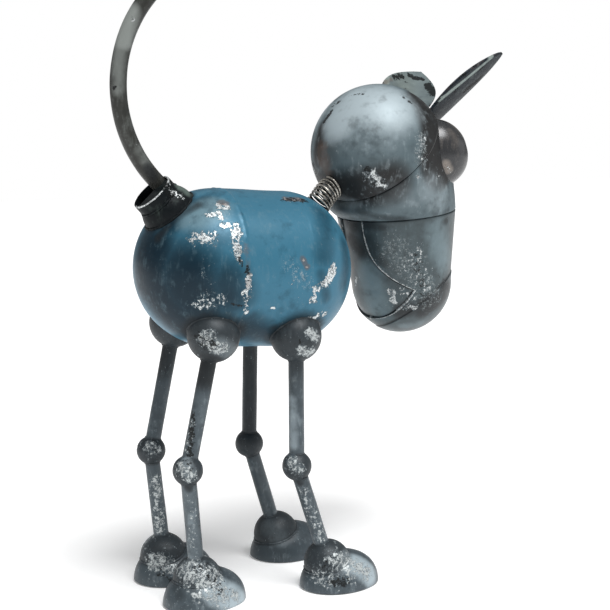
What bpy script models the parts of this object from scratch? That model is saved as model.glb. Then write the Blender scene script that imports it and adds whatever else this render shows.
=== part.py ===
"""Standing dog welded from round steel scrap: ball joints, rod legs, a spring neck and a bent rod tail.

Lengths are in millimetres until the last step. X points where the body faces, Y to the dog's left, Z up.
The floor is Z = 0. The head has its own axes, turned about Z, with its origin in the middle of the skull.
"""

import math

import bmesh
import bpy
import numpy as np
from mathutils import Matrix

# Fit between two touching pieces
GAP = 0.3

# Body: a barrel closed by two domes, leaning nose down
BODY_RADIUS = 65.0
BARREL_LENGTH = 60.5
REAR_DOME_DEPTH = 66.0
FRONT_DOME_DEPTH = 59.0
BODY_MIDDLE = (12.3, 0.0, 267.9)
BODY_PITCH = 4.4

# Legs: joint balls joined by round rods. A hip is given as its distance along the body from the middle
# and its degrees round from underneath, a knee and an ankle as X, half spacing, Z
HIP_RADIUS = 21.2
HIP_STANDS_OUT = 0.8
KNEE_RADIUS = 12.2
ANKLE_RADIUS = 20.0
ROD_RADIUS = 6.4
HIPS = {"rear": (-44.8, 37.6), "front": (28.0, 39.8)}
KNEES = {"rear": (-59.6, 38.2, 113.1), "front": (35.7, 44.7, 106.7)}
ANKLES = {"rear": (-50.7, 35.2, 20.4), "front": (63.4, 47.3, 20.4)}

# Feet: half eggs, with how far each one reaches in front of its ankle. A fullness of 1 is an ellipse
FOOT_HALF_LENGTH = 35.5
FOOT_HALF_WIDTH = 27.0
FOOT_HEIGHT = 29.5
FOOT_FULLNESS = 0.92
FOOT_TAPER = 0.12
FOOT_FORWARD = {"rear_right": 6.5, "rear_left": 9.5, "front_right": 12.0, "front_left": 12.0}

# Tail: ball, pipe ring and a plug with one flat side on one slanting axis, and a rod bent to an arc beside it
TAIL_BALL_ALONG = -71.7
TAIL_BALL_SINKS = 6.7
TAIL_BALL_RADIUS = 22.5
TAIL_SLANT = 47.0
RING_RADIUS = 17.9
RING_WALL = 1.6
RING_FROM, RING_TO = 13.8, 23.2
PLUG_FLAT = 1.7
PLUG_RECESS = 1.2
TAIL_ARC_FROM_BALL = (65.7, 5.0, 99.7)
TAIL_ARC_RADIUS = 106.0
TAIL_ARC_FROM, TAIL_ARC_TO = 229.0, 118.0
TAIL_ROD_RADIUS = 6.9
TAIL_NOTCH_ARC = 30.0

# Neck spring: degrees round the front dome to its foot, its span, and its way into the skull
NECK_ON_DOME = 56.5
NECK_SPAN = (14.8, 0.0, 15.4)
NECK_INTO_SKULL = (0.859, 0.157, 0.488)
SPRING_RADIUS = 9.9
SPRING_WIRE = 1.05
SPRING_TURNS = 7.0

# Head, in its own axes: forward, left, up
HEAD_TURN = 17.0
SKULL_RADIUS = 58.0
SKULL_RIM_TILT = 45.0
MUZZLE_TOP = (24.9, -53.4)
MUZZLE_TOP_RADIUS = 52.4
MUZZLE_TILT = 5.5
MUZZLE_TAPER_LENGTH = 62.8
NOSE_RADIUS = 44.8
NOSE_CAP_WAY = (0.478, -0.37, -0.794)
NOSE_CAP_FROM = 18.0

# Jaw plate let into the back of the muzzle, by degrees round it: where its middle lies, and its half width
# at the top and at the widest
JAW_MIDDLE_ANGLE = 11.0
JAW_TOP_ANGLE, JAW_WIDE_ANGLE = 17.0, 68.0
JAW_CHIN = 27.5
JAW_RECESS = 1.8
JAW_THICKNESS = 6.0

# Eyes: balls in half shells
EYE_MIDDLE = (37.4, 31.7, -1.0)
EYE_RADIUS = 28.9
LID_RADIUS = 31.3
LID_THICKNESS = 1.5
LID_OPENS_TO = (0.87, -0.37, 0.30)

# Ears: leaf shaped plates. Each has its way from the skull's middle to its root, from root to tip and across,
# and how far its edges bend up
EAR_LENGTH = 90.0
EAR_WIDTH = 49.0
EAR_THICKNESS = 2.6
EAR_FULLNESS = 0.65
EARS = {"right": ((45.6, -22.9, 25.4), (0.69, -0.31, 0.65), (0.68, 0.59, -0.44), 3.5),
        "left": ((45.1, 17.8, 29.9), (0.82, 0.40, 0.41), (-0.54, 0.76, 0.34), 9.0)}

PAINT = (0.20, 0.30, 0.36, 1.0)
STEEL = (0.42, 0.42, 0.41, 1.0)


def unit(vector):
    vector = np.asarray(vector, float)
    return vector / np.linalg.norm(vector)


def turned(degrees):
    """The direction that many degrees from straight down towards the front, as X, Y, Z."""
    angle = math.radians(degrees)
    return np.array([math.sin(angle), 0.0, -math.cos(angle)])


def material(name, colour):
    made = bpy.data.materials.new(name)
    made.use_nodes = True
    shader = made.node_tree.nodes["Principled BSDF"]
    shader.inputs["Base Color"].default_value = colour
    shader.inputs["Metallic"].default_value = 0.6
    shader.inputs["Roughness"].default_value = 0.5
    return made


def add(name, points, faces, look=None, helper=False):
    """An object of these points and faces, with outward normals. A helper only cuts others."""
    mesh = bpy.data.meshes.new(name)
    mesh.from_pydata([tuple(p) for p in points], [], [tuple(f) for f in faces])
    shape = bmesh.new()
    shape.from_mesh(mesh)
    bmesh.ops.recalc_face_normals(shape, faces=shape.faces)
    shape.to_mesh(mesh)
    shape.free()
    made = bpy.data.objects.new(name, mesh)
    bpy.context.scene.collection.objects.link(made)
    if helper:
        made.hide_render = True
        made.display_type = "WIRE"
    else:
        mesh.materials.append(look)
    return made


def combine(target, other, operation="DIFFERENCE"):
    step = target.modifiers.new(other.name, "BOOLEAN")
    step.operation = operation
    step.solver = "EXACT"
    step.object = other


def lathe(profile, steps):
    """Points and faces of a profile of (radius, height) turned about Z. Radius 0 makes a pole."""
    points, rings = [], []
    for radius, height in profile:
        if radius < 1e-6:
            rings.append([len(points)] * steps)
            points.append((0.0, 0.0, height))
            continue
        rings.append(list(range(len(points), len(points) + steps)))
        for k in range(steps):
            angle = 2 * math.pi * k / steps
            points.append((radius * math.cos(angle), radius * math.sin(angle), height))
    return np.array(points), skin(rings)


def skin(rings):
    """Triangles between neighbouring rings of point numbers, leaving out those that a pole collapses."""
    faces = []
    for low, high in zip(rings, rings[1:]):
        for k in range(len(low)):
            m = (k + 1) % len(low)
            faces += [(low[k], low[m], high[m]), (low[k], high[m], high[k])]
    return [face for face in faces if len(set(face)) == 3]


def stand(points, origin, up, front=(0.0, 1.0, 0.0)):
    """The points with their Z turned to the direction up and their Y kept as near to front as it goes."""
    up = unit(up)
    side = unit(np.cross(front, up))
    axes = np.stack([side, np.cross(up, side), up])
    return np.asarray(points) @ axes + np.asarray(origin, float)


def arc(radius, start, end, count, middle=0.0):
    """(radius, height) points on a circle about the Z axis, from one polar angle to another."""
    angles = np.radians(np.linspace(start, end, count))
    return [(radius * abs(math.sin(a)), middle + radius * math.cos(a)) for a in angles]


def sphere(radius, steps, rows):
    return lathe(arc(radius, 180, 0, rows + 1), steps)


# Body

BODY_AXIS = np.array([math.cos(math.radians(BODY_PITCH)), 0, -math.sin(math.radians(BODY_PITCH))])
BODY_UP = np.cross(BODY_AXIS, [0, 1.0, 0])
HALF_BARREL = BARREL_LENGTH / 2


def on_body(along, degrees, stands_out):
    """A point so far along the body and so many degrees round from underneath, off its surface."""
    depth = FRONT_DOME_DEPTH if along > 0 else REAR_DOME_DEPTH
    beyond = max(0.0, abs(along) - HALF_BARREL) / depth
    out = BODY_RADIUS * math.sqrt(1 - beyond**2) + stands_out
    angle = math.radians(degrees)
    across = math.sin(angle) * np.array([0, 1.0, 0]) - math.cos(angle) * BODY_UP
    return np.array(BODY_MIDDLE) + along * BODY_AXIS + out * across


def dome(depth, grow, rows=6):
    """Half an ellipsoid from its rim to its pole, as (radius, height) with the rim at height 0."""
    angles = np.linspace(math.pi / 2, 0, rows + 1)
    return [((BODY_RADIUS + grow) * math.sin(a), (depth + grow) * math.cos(a)) for a in angles]


def body_surface(grow=0.0):
    rear = [(r, -HALF_BARREL - h) for r, h in dome(REAR_DOME_DEPTH, grow)[::-1]]
    front = [(r, HALF_BARREL + h) for r, h in dome(FRONT_DOME_DEPTH, grow)]
    points, faces = lathe(rear + front, 32)
    return stand(points, BODY_MIDDLE, BODY_AXIS), faces


def build_body(look):
    parts = {
        "body_barrel": [(0, -HALF_BARREL), (BODY_RADIUS, -HALF_BARREL), (BODY_RADIUS, HALF_BARREL),
                        (0, HALF_BARREL)],
        "body_rear_dome": [(0, -HALF_BARREL - GAP)] + [(r, -HALF_BARREL - GAP - h)
                                                       for r, h in dome(REAR_DOME_DEPTH - GAP, 0)],
        "body_front_dome": [(0, HALF_BARREL + GAP)] + [(r, HALF_BARREL + GAP + h)
                                                       for r, h in dome(FRONT_DOME_DEPTH - GAP, 0)],
    }
    for name, profile in parts.items():
        points, faces = lathe(profile, 32)
        add(name, stand(points, BODY_MIDDLE, BODY_AXIS), faces, look)
    return add("cut_body", *body_surface(GAP), helper=True)


# Legs


def rod(low, low_ball, high, high_ball, radius, steps=12):
    """A straight rod between two ball middles. Its ends are hollowed to sit on the balls."""
    low, high = np.asarray(low, float), np.asarray(high, float)
    length = np.linalg.norm(high - low)
    across = np.linspace(0, radius, 3)
    foot = [(a, math.sqrt((low_ball + GAP) ** 2 - a * a)) for a in across]
    head = [(a, length - math.sqrt((high_ball + GAP) ** 2 - a * a)) for a in across[::-1]]
    points, faces = lathe(foot + head, steps)
    return stand(points, low, high - low), faces


def foot_surface(middle, grow=0.0):
    """Half an egg on the floor, its broad end at the back."""
    quarter = [(r**FOOT_FULLNESS, h**FOOT_FULLNESS) for r, h in arc(1, 90, 0, 6)[:-1]]
    points, faces = lathe([(0, 0)] + quarter + [(0, 1)], 20)
    points = points * [FOOT_HALF_LENGTH + grow, FOOT_HALF_WIDTH + grow, FOOT_HEIGHT + grow]
    points[:, 1] *= 1 - FOOT_TAPER * points[:, 0] / FOOT_HALF_LENGTH
    if grow:
        points[points[:, 2] < 0.01, 2] = -5
    return points + middle, faces


def build_leg(end, hand, body_cut, look):
    side = -1 if hand == "right" else 1
    name = f"{end}_{hand}"
    hip = on_body(HIPS[end][0], side * HIPS[end][1], HIP_STANDS_OUT)
    knee, ankle = (np.array([x, side * y, z]) for x, y, z in (KNEES[end], ANKLES[end]))
    points, faces = sphere(HIP_RADIUS, 16, 8)
    combine(add(f"{name}_hip_ball", points + hip, faces, look), body_cut)
    points, faces = sphere(KNEE_RADIUS, 14, 7)
    add(f"{name}_knee_ball", points + knee, faces, look)
    points, faces = sphere(ANKLE_RADIUS, 16, 8)
    ball = add(f"{name}_ankle_ball", points + ankle, faces, look)
    toe = np.array([ankle[0] + FOOT_FORWARD[name], ankle[1], 0])
    add(f"{name}_foot", *foot_surface(toe), look)
    combine(ball, add(f"cut_{name}_foot", *foot_surface(toe, GAP), helper=True))
    add(f"{name}_thigh", *rod(knee, KNEE_RADIUS, hip, HIP_RADIUS, ROD_RADIUS), look)
    add(f"{name}_shin", *rod(ankle, ANKLE_RADIUS, knee, KNEE_RADIUS, ROD_RADIUS), look)


# Sweeps, for the tail and the spring


def sweep(path, radius, steps):
    """A round bar along a path of points, closed flat at both ends."""
    path = np.asarray(path, float)
    along = np.gradient(path, axis=0)
    along /= np.linalg.norm(along, axis=1)[:, None]
    points, rings = [], []
    side = unit(np.cross(along[0], [0.31, 0.2, 0.93]))
    for middle, direction in zip(path, along):
        side = unit(side - direction * (side @ direction))
        other = np.cross(direction, side)
        rings.append(list(range(len(points), len(points) + steps)))
        for k in range(steps):
            angle = 2 * math.pi * k / steps
            points.append(middle + radius * (math.cos(angle) * side + math.sin(angle) * other))
    return np.array(points), skin(rings) + [rings[0][::-1], rings[-1]]


TAIL_BALL_MIDDLE = on_body(TAIL_BALL_ALONG, 180, -TAIL_BALL_SINKS)


def tail_path(start, end, count):
    angles = np.radians(np.linspace(start, end, count))
    arc_points = np.stack([np.cos(angles), np.zeros(count), np.sin(angles)], 1)
    return TAIL_BALL_MIDDLE + TAIL_ARC_FROM_BALL + TAIL_ARC_RADIUS * arc_points


def build_tail(body_cut, look):
    slant = math.radians(TAIL_SLANT)
    axis = np.array([-math.cos(slant), 0, math.sin(slant)])
    flat = math.degrees(math.acos((RING_FROM - GAP) / TAIL_BALL_RADIUS))
    points, faces = lathe(arc(TAIL_BALL_RADIUS, 180, flat, 9) + [(0, RING_FROM - GAP)], 18)
    combine(add("tail_ball", stand(points, TAIL_BALL_MIDDLE, axis), faces, look), body_cut)
    inner = RING_RADIUS - RING_WALL
    loop = [(inner, RING_FROM), (RING_RADIUS, RING_FROM), (RING_RADIUS, RING_TO), (inner, RING_TO)]
    points, faces = lathe(loop + loop[:1], 20)
    ring = add("tail_ring", stand(points, TAIL_BALL_MIDDLE, axis), faces, look)
    angles = np.linspace(0, 2 * math.pi, 28, endpoint=False)
    plug_edge = np.stack([np.cos(angles), np.sin(angles), 0 * angles], 1) * (inner - GAP)
    plug_edge[:, 1] = np.minimum(plug_edge[:, 1], PLUG_FLAT)
    points, faces = loft([plug_edge + [0, 0, RING_FROM], plug_edge + [0, 0, RING_TO - PLUG_RECESS]])
    plug = add("tail_plug", stand(points, TAIL_BALL_MIDDLE, axis), faces, look)
    path = tail_path(TAIL_ARC_FROM, TAIL_ARC_TO, 19)
    add("tail_rod", *sweep(path, TAIL_ROD_RADIUS, 10), look)
    longer = tail_path(TAIL_ARC_FROM + TAIL_NOTCH_ARC / 3, TAIL_ARC_FROM - TAIL_NOTCH_ARC, 10)
    rod_cut = add("cut_tail_rod", *sweep(longer, TAIL_ROD_RADIUS + GAP, 10), helper=True)
    for piece in (ring, plug):
        combine(piece, rod_cut)


def seat(radius):
    """How far a coil's middle stands off a round surface of this radius."""
    return SPRING_WIRE + GAP - (radius - math.sqrt(radius**2 - SPRING_RADIUS**2))


def neck_foot():
    """Where the spring stands on the front dome, and the way square off it."""
    around = math.radians(NECK_ON_DOME)
    spot = BODY_RADIUS * math.sin(around) * BODY_UP
    spot = spot + (HALF_BARREL + FRONT_DOME_DEPTH * math.cos(around)) * BODY_AXIS
    square = math.cos(around) / FRONT_DOME_DEPTH * BODY_AXIS + math.sin(around) / BODY_RADIUS * BODY_UP
    return BODY_MIDDLE + spot, unit(square)


NECK_TOP = neck_foot()[0] + NECK_SPAN
SKULL_MIDDLE = NECK_TOP + SKULL_RADIUS * unit(NECK_INTO_SKULL)


def build_neck(look):
    """A coil whose middle line leaves the chest square to it and meets the skull square to it."""
    foot, start_way = neck_foot()
    end_way = unit(NECK_INTO_SKULL)
    start = foot + seat(BODY_RADIUS) * start_way
    end = NECK_TOP - seat(SKULL_RADIUS) * end_way
    reach = np.linalg.norm(end - start)
    coil = []
    for t in np.linspace(0, 1, int(SPRING_TURNS * 9) + 1):
        middle = (1 + 2 * t) * (1 - t) ** 2 * start + t * t * (3 - 2 * t) * end
        middle += reach * (t * (1 - t) ** 2 * start_way - t * t * (1 - t) * end_way)
        way = unit((1 - t) * start_way + t * end_way)
        up = unit(np.cross(way, [0, 1.0, 0]))
        turn = 2 * math.pi * SPRING_TURNS * t
        coil.append(middle + SPRING_RADIUS * (math.cos(turn) * up + math.sin(turn) * np.cross(up, way)))
    add("neck_spring", *sweep(coil, SPRING_WIRE, 5), look)


# Head


def to_world(points):
    turn = Matrix.Rotation(math.radians(HEAD_TURN), 3, "Z")
    return np.asarray(points) @ np.array(turn).T + np.array(SKULL_MIDDLE)


def tilted_ring(middle, tilt, radius, steps=32):
    """A circle whose axis leans that many degrees from straight down towards the front."""
    front = np.array([math.cos(math.radians(tilt)), 0, math.sin(math.radians(tilt))])
    angles = np.linspace(0, 2 * math.pi, steps, endpoint=False)[:, None]
    return middle + radius * (np.cos(angles) * front + np.sin(angles) * np.array([0, 1.0, 0]))


def loft(rings):
    """A closed solid through rings of equal count, flat at both ends."""
    count = len(rings[0])
    numbers = [list(range(i * count, (i + 1) * count)) for i in range(len(rings))]
    return np.concatenate(rings), skin(numbers) + [numbers[0][::-1], numbers[-1]]


MUZZLE_AXIS = turned(MUZZLE_TILT)
MUZZLE_START = np.array([MUZZLE_TOP[0], 0, MUZZLE_TOP[1]])
NOSE_MIDDLE = MUZZLE_START + MUZZLE_TAPER_LENGTH * MUZZLE_AXIS


def muzzle_radius(along):
    """Radius of the taper at a distance below its top edge."""
    return MUZZLE_TOP_RADIUS + (NOSE_RADIUS - MUZZLE_TOP_RADIUS) * along / MUZZLE_TAPER_LENGTH


def muzzle_profile(grow=0.0, start=GAP):
    taper = [(muzzle_radius(s) + grow, s) for s in np.linspace(start, MUZZLE_TAPER_LENGTH, 4)]
    ball = arc(NOSE_RADIUS + grow, 90, 180, 8)[1:]
    return [(0, start)] + taper + [(r, MUZZLE_TAPER_LENGTH - h) for r, h in ball]


def muzzle(grow=0.0, start=GAP):
    points, faces = lathe(muzzle_profile(grow, start), 28)
    return to_world(stand(points, MUZZLE_START, MUZZLE_AXIS)), faces


def skull(grow=0.0):
    """Half a ball, its flat side facing forwards and down. Grown to cut with, it also reaches into the band."""
    edge = -1.0 if grow else GAP / 2
    radius = SKULL_RADIUS + grow
    points, faces = lathe([(0, edge)] + [(r, edge + h) for r, h in arc(radius, 90, 0, 7)], 32)
    return to_world(stand(points, (0, 0, 0), -turned(SKULL_RIM_TILT))), faces


def face_band(grow=0.0):
    """The bent band from the skull's slanting rim to the muzzle's level one."""
    start, end = GAP / 2 * turned(SKULL_RIM_TILT), MUZZLE_START
    rings = []
    for t in np.linspace(0, 1, 5):
        tilt = SKULL_RIM_TILT + (MUZZLE_TILT - SKULL_RIM_TILT) * t
        radius = SKULL_RADIUS + (MUZZLE_TOP_RADIUS - SKULL_RADIUS) * t + 8.0 * t * (1 - t)
        rings.append(tilted_ring(start + (end - start) * t, tilt, radius + grow))
    points, faces = loft(rings)
    return to_world(points), faces


def jaw_half_angle(s):
    """Half width of the jaw in degrees at a distance s below the muzzle's top: a spade, point down."""
    if s <= MUZZLE_TAPER_LENGTH:
        swell = (max(s, 0) / MUZZLE_TAPER_LENGTH) ** 3.2
        return JAW_TOP_ANGLE + (JAW_WIDE_ANGLE - JAW_TOP_ANGLE) * swell
    x = min(1.0, (s - MUZZLE_TAPER_LENGTH) / JAW_CHIN)
    return JAW_WIDE_ANGLE * (math.sqrt(1 - x * x) - 0.08 * math.sin(math.pi * x))


def muzzle_point(s, degrees, grow):
    """A point over the muzzle's surface: s along it, degrees round from the middle of its back."""
    angle = math.radians(degrees)
    out = np.array([math.cos(math.radians(MUZZLE_TILT)), 0, math.sin(math.radians(MUZZLE_TILT))])
    out = -math.cos(angle) * out + math.sin(angle) * np.array([0, 1.0, 0])
    if s <= MUZZLE_TAPER_LENGTH:
        return MUZZLE_START + s * MUZZLE_AXIS + (muzzle_radius(s) + grow) * out
    sink = min(1.0, (s - MUZZLE_TAPER_LENGTH) / NOSE_RADIUS)
    return NOSE_MIDDLE + (NOSE_RADIUS + grow) * (sink * MUZZLE_AXIS + math.sqrt(1 - sink * sink) * out)


def jaw(outer, inner, margin=0.0):
    """The spade between two depths under the surface. A margin moves its outline out, past the top too."""
    stops = [-4.0] * (margin > 0) + list(np.linspace(4 * GAP, MUZZLE_TAPER_LENGTH, 9))
    stops += [MUZZLE_TAPER_LENGTH + (JAW_CHIN + margin) * math.sin(a) for a in np.radians([25, 48, 68])]
    stops.append(MUZZLE_TAPER_LENGTH + JAW_CHIN + margin)
    rings = []
    for s in stops:
        inside = MUZZLE_TAPER_LENGTH + (s - MUZZLE_TAPER_LENGTH) * JAW_CHIN / (JAW_CHIN + margin)
        half = jaw_half_angle(inside if s > MUZZLE_TAPER_LENGTH else s)
        half += math.degrees(margin / NOSE_RADIUS)
        turns = JAW_MIDDLE_ANGLE + half * np.linspace(-1, 1, 7)
        top = [muzzle_point(s, turn, outer) for turn in turns]
        rings.append(np.array(top + [muzzle_point(s, turn, inner) for turn in turns[::-1]]))
    points, faces = loft(rings)
    return to_world(points), faces


def ear(root_way, along, across, dish):
    """A leaf plate, dished across, broadest below its middle and pointed at the tip."""
    along = unit(along)
    across = unit(np.asarray(across) - along * (along @ np.asarray(across)))
    out = np.cross(along, across)
    root = (SKULL_RADIUS - 1) * unit(root_way) - 5 * along
    rings = []
    for t in np.linspace(0, 1, 9):
        half = EAR_WIDTH / 2 * max(0.06, math.sin(math.pi * (0.2 + 0.8 * t)) ** EAR_FULLNESS)
        ring = []
        for face, columns in ((0, (-1, -0.5, 0, 0.5, 1)), (EAR_THICKNESS, (1, 0.5, 0, -0.5, -1))):
            for b in columns:
                lift = dish * (b * half * 2 / EAR_WIDTH) ** 2 + face
                ring.append(root + (EAR_LENGTH + 5) * t * along + b * half * across + lift * out)
        rings.append(np.array(ring))
    points, faces = loft(rings)
    return to_world(points), faces


def eye_lid(side):
    """A half shell round the back of an eye. Its rim faces the way the eye looks."""
    opens = unit(np.array(LID_OPENS_TO) * [1, side, 1])
    outer = arc(LID_RADIUS, 180, 92, 7)
    inner = arc(LID_RADIUS - LID_THICKNESS, 92, 180, 7)
    points, faces = lathe(outer + inner, 20)
    return stand(points, (0, 0, 0), opens), faces


def build_head(look):
    add("skull", *skull(), look)
    band = add("face_band", *face_band(), look)
    shell = add("muzzle_shell", *muzzle(), look)
    cap = add("nose_cap", *muzzle(), look)
    cap_axis = unit(NOSE_CAP_WAY)
    block, sides = lathe([(0, 0), (120, 0), (120, 120), (0, 120)], 4)
    beyond = to_world(stand(block, NOSE_MIDDLE + (NOSE_CAP_FROM - GAP) * cap_axis, cap_axis))
    within = to_world(stand(block, NOSE_MIDDLE + NOSE_CAP_FROM * cap_axis, cap_axis))
    combine(shell, add("cut_beyond_rim", beyond, sides, helper=True))
    combine(cap, add("keep_nose", within, sides, helper=True), "INTERSECT")
    add("jaw", *jaw(-JAW_RECESS, -JAW_THICKNESS), look)
    pocket = jaw(3.0, -JAW_THICKNESS - 2 * GAP, 1.0)
    combine(shell, add("cut_jaw_pocket", *pocket, helper=True))

    skull_cut = add("cut_skull", *skull(GAP), helper=True)
    band_cut = add("cut_face_band", *face_band(GAP), helper=True)
    for hand, side in (("right", -1), ("left", 1)):
        middle = np.array(EYE_MIDDLE) * [1, side, 1]
        points, faces = sphere(EYE_RADIUS, 16, 8)
        eye = add(f"eye_{hand}", to_world(points + middle), faces, look)
        points, faces = eye_lid(side)
        lid = add(f"eyelid_{hand}", to_world(points + middle), faces, look)
        plate = add(f"ear_{hand}", *ear(*EARS[hand]), look)
        points, faces = sphere(LID_RADIUS + GAP, 20, 10)
        combine(plate, add(f"cut_{hand}_eye", to_world(points + middle), faces, helper=True))
        for piece in (eye, lid, plate):
            combine(piece, skull_cut)
            combine(piece, band_cut)


def centre_on_floor():
    """Turns millimetres into metres and puts the origin under the middle of everything that shows."""
    shown = [o for o in bpy.context.scene.objects if not o.hide_render]
    bpy.context.view_layer.update()
    graph = bpy.context.evaluated_depsgraph_get()
    corners = np.concatenate([[v.co[:] for v in o.evaluated_get(graph).data.vertices] for o in shown])
    low, high = corners.min(axis=0), corners.max(axis=0)
    shift = -np.array([(low[0] + high[0]) / 2, (low[1] + high[1]) / 2, low[2]])
    change = Matrix.Scale(0.001, 4) @ Matrix.Translation(shift)
    for item in bpy.context.scene.objects:
        item.data.transform(change)
    print("moved by", np.round(shift, 3))


def main():
    for old in list(bpy.data.objects):
        bpy.data.objects.remove(old, do_unlink=True)
    paint, steel = material("painted steel", PAINT), material("bare steel", STEEL)
    body_cut = build_body(paint)
    for end in ("rear", "front"):
        for hand in ("right", "left"):
            build_leg(end, hand, body_cut, paint)
    build_tail(body_cut, paint)
    build_neck(steel)
    build_head(paint)
    centre_on_floor()


main()
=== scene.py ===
"""Scrap metal dog: the fine surfaces, the finishes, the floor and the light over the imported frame.

Lengths are in millimetres in the part's own axes: X the way the body faces, Y the dog's left, Z up.
The head has its own axes, turned about Z, with its origin in the middle of the skull.
"""

import math

import bmesh
import bpy
import numpy as np
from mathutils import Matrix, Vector


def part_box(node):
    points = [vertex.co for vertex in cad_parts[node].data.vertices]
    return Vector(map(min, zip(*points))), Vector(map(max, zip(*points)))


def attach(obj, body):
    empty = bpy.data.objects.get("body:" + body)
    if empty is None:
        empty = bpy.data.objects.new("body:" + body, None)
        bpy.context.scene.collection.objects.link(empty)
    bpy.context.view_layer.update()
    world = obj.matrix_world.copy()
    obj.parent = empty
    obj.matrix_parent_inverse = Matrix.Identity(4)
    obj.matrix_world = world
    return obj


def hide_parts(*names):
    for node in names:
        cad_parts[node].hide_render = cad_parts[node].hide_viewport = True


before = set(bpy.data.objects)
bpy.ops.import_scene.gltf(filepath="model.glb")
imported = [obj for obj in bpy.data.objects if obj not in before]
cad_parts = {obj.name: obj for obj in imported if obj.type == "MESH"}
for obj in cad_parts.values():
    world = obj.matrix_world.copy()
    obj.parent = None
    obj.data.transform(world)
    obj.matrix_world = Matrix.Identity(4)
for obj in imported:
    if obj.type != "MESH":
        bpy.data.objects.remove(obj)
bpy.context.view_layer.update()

# Sizes of the pieces, as in the part's source
BODY_RADIUS, BARREL_LENGTH, REAR_DOME_DEPTH, FRONT_DOME_DEPTH = 65.0, 60.5, 66.0, 59.0
BODY_MIDDLE = np.array([12.3, 0.0, 267.9])
BODY_PITCH = 4.4
HIP_RADIUS, KNEE_RADIUS, ANKLE_RADIUS, ROD_RADIUS = 21.2, 12.2, 20.0, 6.4
HIP_STANDS_OUT = 0.8
HIPS = {"rear": (-44.8, 37.6), "front": (28.0, 39.8)}
KNEES = {"rear": (-59.6, 38.2, 113.1), "front": (35.7, 44.7, 106.7)}
ANKLES = {"rear": (-50.7, 35.2, 20.4), "front": (63.4, 47.3, 20.4)}
FOOT_HALF_LENGTH, FOOT_HALF_WIDTH, FOOT_HEIGHT, FOOT_FULLNESS, FOOT_TAPER = 35.5, 27.0, 29.5, 0.92, 0.12
FOOT_FORWARD = {"rear_right": 6.5, "rear_left": 9.5, "front_right": 12.0, "front_left": 12.0}
TAIL_BALL_ALONG, TAIL_BALL_SINKS, TAIL_BALL_RADIUS, TAIL_SLANT = -71.7, 6.7, 22.5, 47.0
RING_RADIUS, RING_WALL, RING_FROM, RING_TO = 17.9, 1.6, 13.8, 23.2
PLUG_FLAT, PLUG_RECESS = 1.7, 1.2
TAIL_ARC_FROM_BALL = np.array([65.7, 5.0, 99.7])
TAIL_ARC_RADIUS, TAIL_ARC_FROM, TAIL_ARC_TO, TAIL_ROD_RADIUS = 106.0, 229.0, 118.0, 6.9
NECK_ON_DOME, NECK_SPAN, NECK_INTO_SKULL = 56.5, (14.8, 0.0, 15.4), (0.859, 0.157, 0.488)
SPRING_RADIUS, SPRING_WIRE, SPRING_TURNS = 9.9, 1.05, 7.0
HEAD_TURN, SKULL_RADIUS, SKULL_RIM_TILT = 17.0, 58.0, 45.0
MUZZLE_TOP, MUZZLE_TOP_RADIUS, MUZZLE_TILT = (24.9, -53.4), 52.4, 5.5
MUZZLE_TAPER_LENGTH, NOSE_RADIUS, NOSE_CAP_WAY, NOSE_CAP_FROM = 62.8, 44.8, (0.478, -0.37, -0.794), 18.0
JAW_MIDDLE_ANGLE, JAW_TOP_ANGLE, JAW_WIDE_ANGLE = 11.0, 17.0, 68.0
JAW_CHIN, JAW_RECESS, JAW_THICKNESS = 27.5, 1.8, 6.0
EYE_MIDDLE, EYE_RADIUS = np.array([37.4, 31.7, -1.0]), 28.9
LID_RADIUS, LID_THICKNESS, LID_OPENS_TO = 31.3, 1.5, np.array([0.87, -0.37, 0.30])
EAR_LENGTH, EAR_WIDTH, EAR_THICKNESS, EAR_FULLNESS = 90.0, 49.0, 2.6, 0.65
EARS = {"right": ((45.6, -22.9, 25.4), (0.69, -0.31, 0.65), (0.68, 0.59, -0.44), 3.5),
        "left": ((45.1, 17.8, 29.9), (0.82, 0.40, 0.41), (-0.54, 0.76, 0.34), 9.0)}
GAP = 0.3

# Fine surfaces that the part's source doesn't have
WELD_REACH, WELD_STEP, WELD_WIDTH = 6.0, 0.45, 1.5
SHELL_RIM, FOOT_RIM, PLUG_BEVEL = 1.1, 1.6, 0.7
NOSE_CAP_PROUD, LID_EDGE, BAND_SWELL = 0.7, 93.0, 8.0
ROD_SINKS, EAR_ROOT_DEPTH = 2.2, 5.0
FOOT_TRIM, TAIL_ROD_TRIM = (0.2, 0.3), 0.2  # keeps these skins inside the frame's box

# The camera, as solved from the photograph, which is square
PHOTO_PIXELS, MM_PER_PIXEL = 610, 0.85
CAMERA_TARGET, CAMERA_DISTANCE = np.array([67.388, 0.0, 232.95]), 1275.0
CAMERA_TURN, CAMERA_TILT = math.radians(-28.25), math.radians(8.5)
CAMERA_LENS, CAMERA_SENSOR = 88.52, 36.0

SIDES = {"right": -1.0, "left": 1.0}
LEFT = np.array([0.0, 1.0, 0.0])
MM = 1000.0  # in a metre

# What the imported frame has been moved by, seen on the barrel
SHIFT = MM * np.array(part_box("body_barrel")).mean(axis=0) - BODY_MIDDLE


# Directions and places


def unit(v):
    """The same way, one long."""
    v = np.asarray(v, float)
    return v / np.linalg.norm(v, axis=-1, keepdims=True)


def turned(degrees):
    """The direction that many degrees from straight down towards the front."""
    return np.array([math.sin(math.radians(degrees)), 0.0, -math.cos(math.radians(degrees))])


def stand(points, origin, up):
    """The points with their Z turned to the direction up and their Y kept as near to the left as it goes."""
    up = unit(up)
    side = unit(np.cross(LEFT, up))
    return points @ np.stack([side, np.cross(up, side), up]) + np.asarray(origin, float)


BODY_AXIS = np.array([math.cos(math.radians(BODY_PITCH)), 0.0, -math.sin(math.radians(BODY_PITCH))])
BODY_UP = np.cross(BODY_AXIS, LEFT)
HALF_BARREL = BARREL_LENGTH / 2


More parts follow.
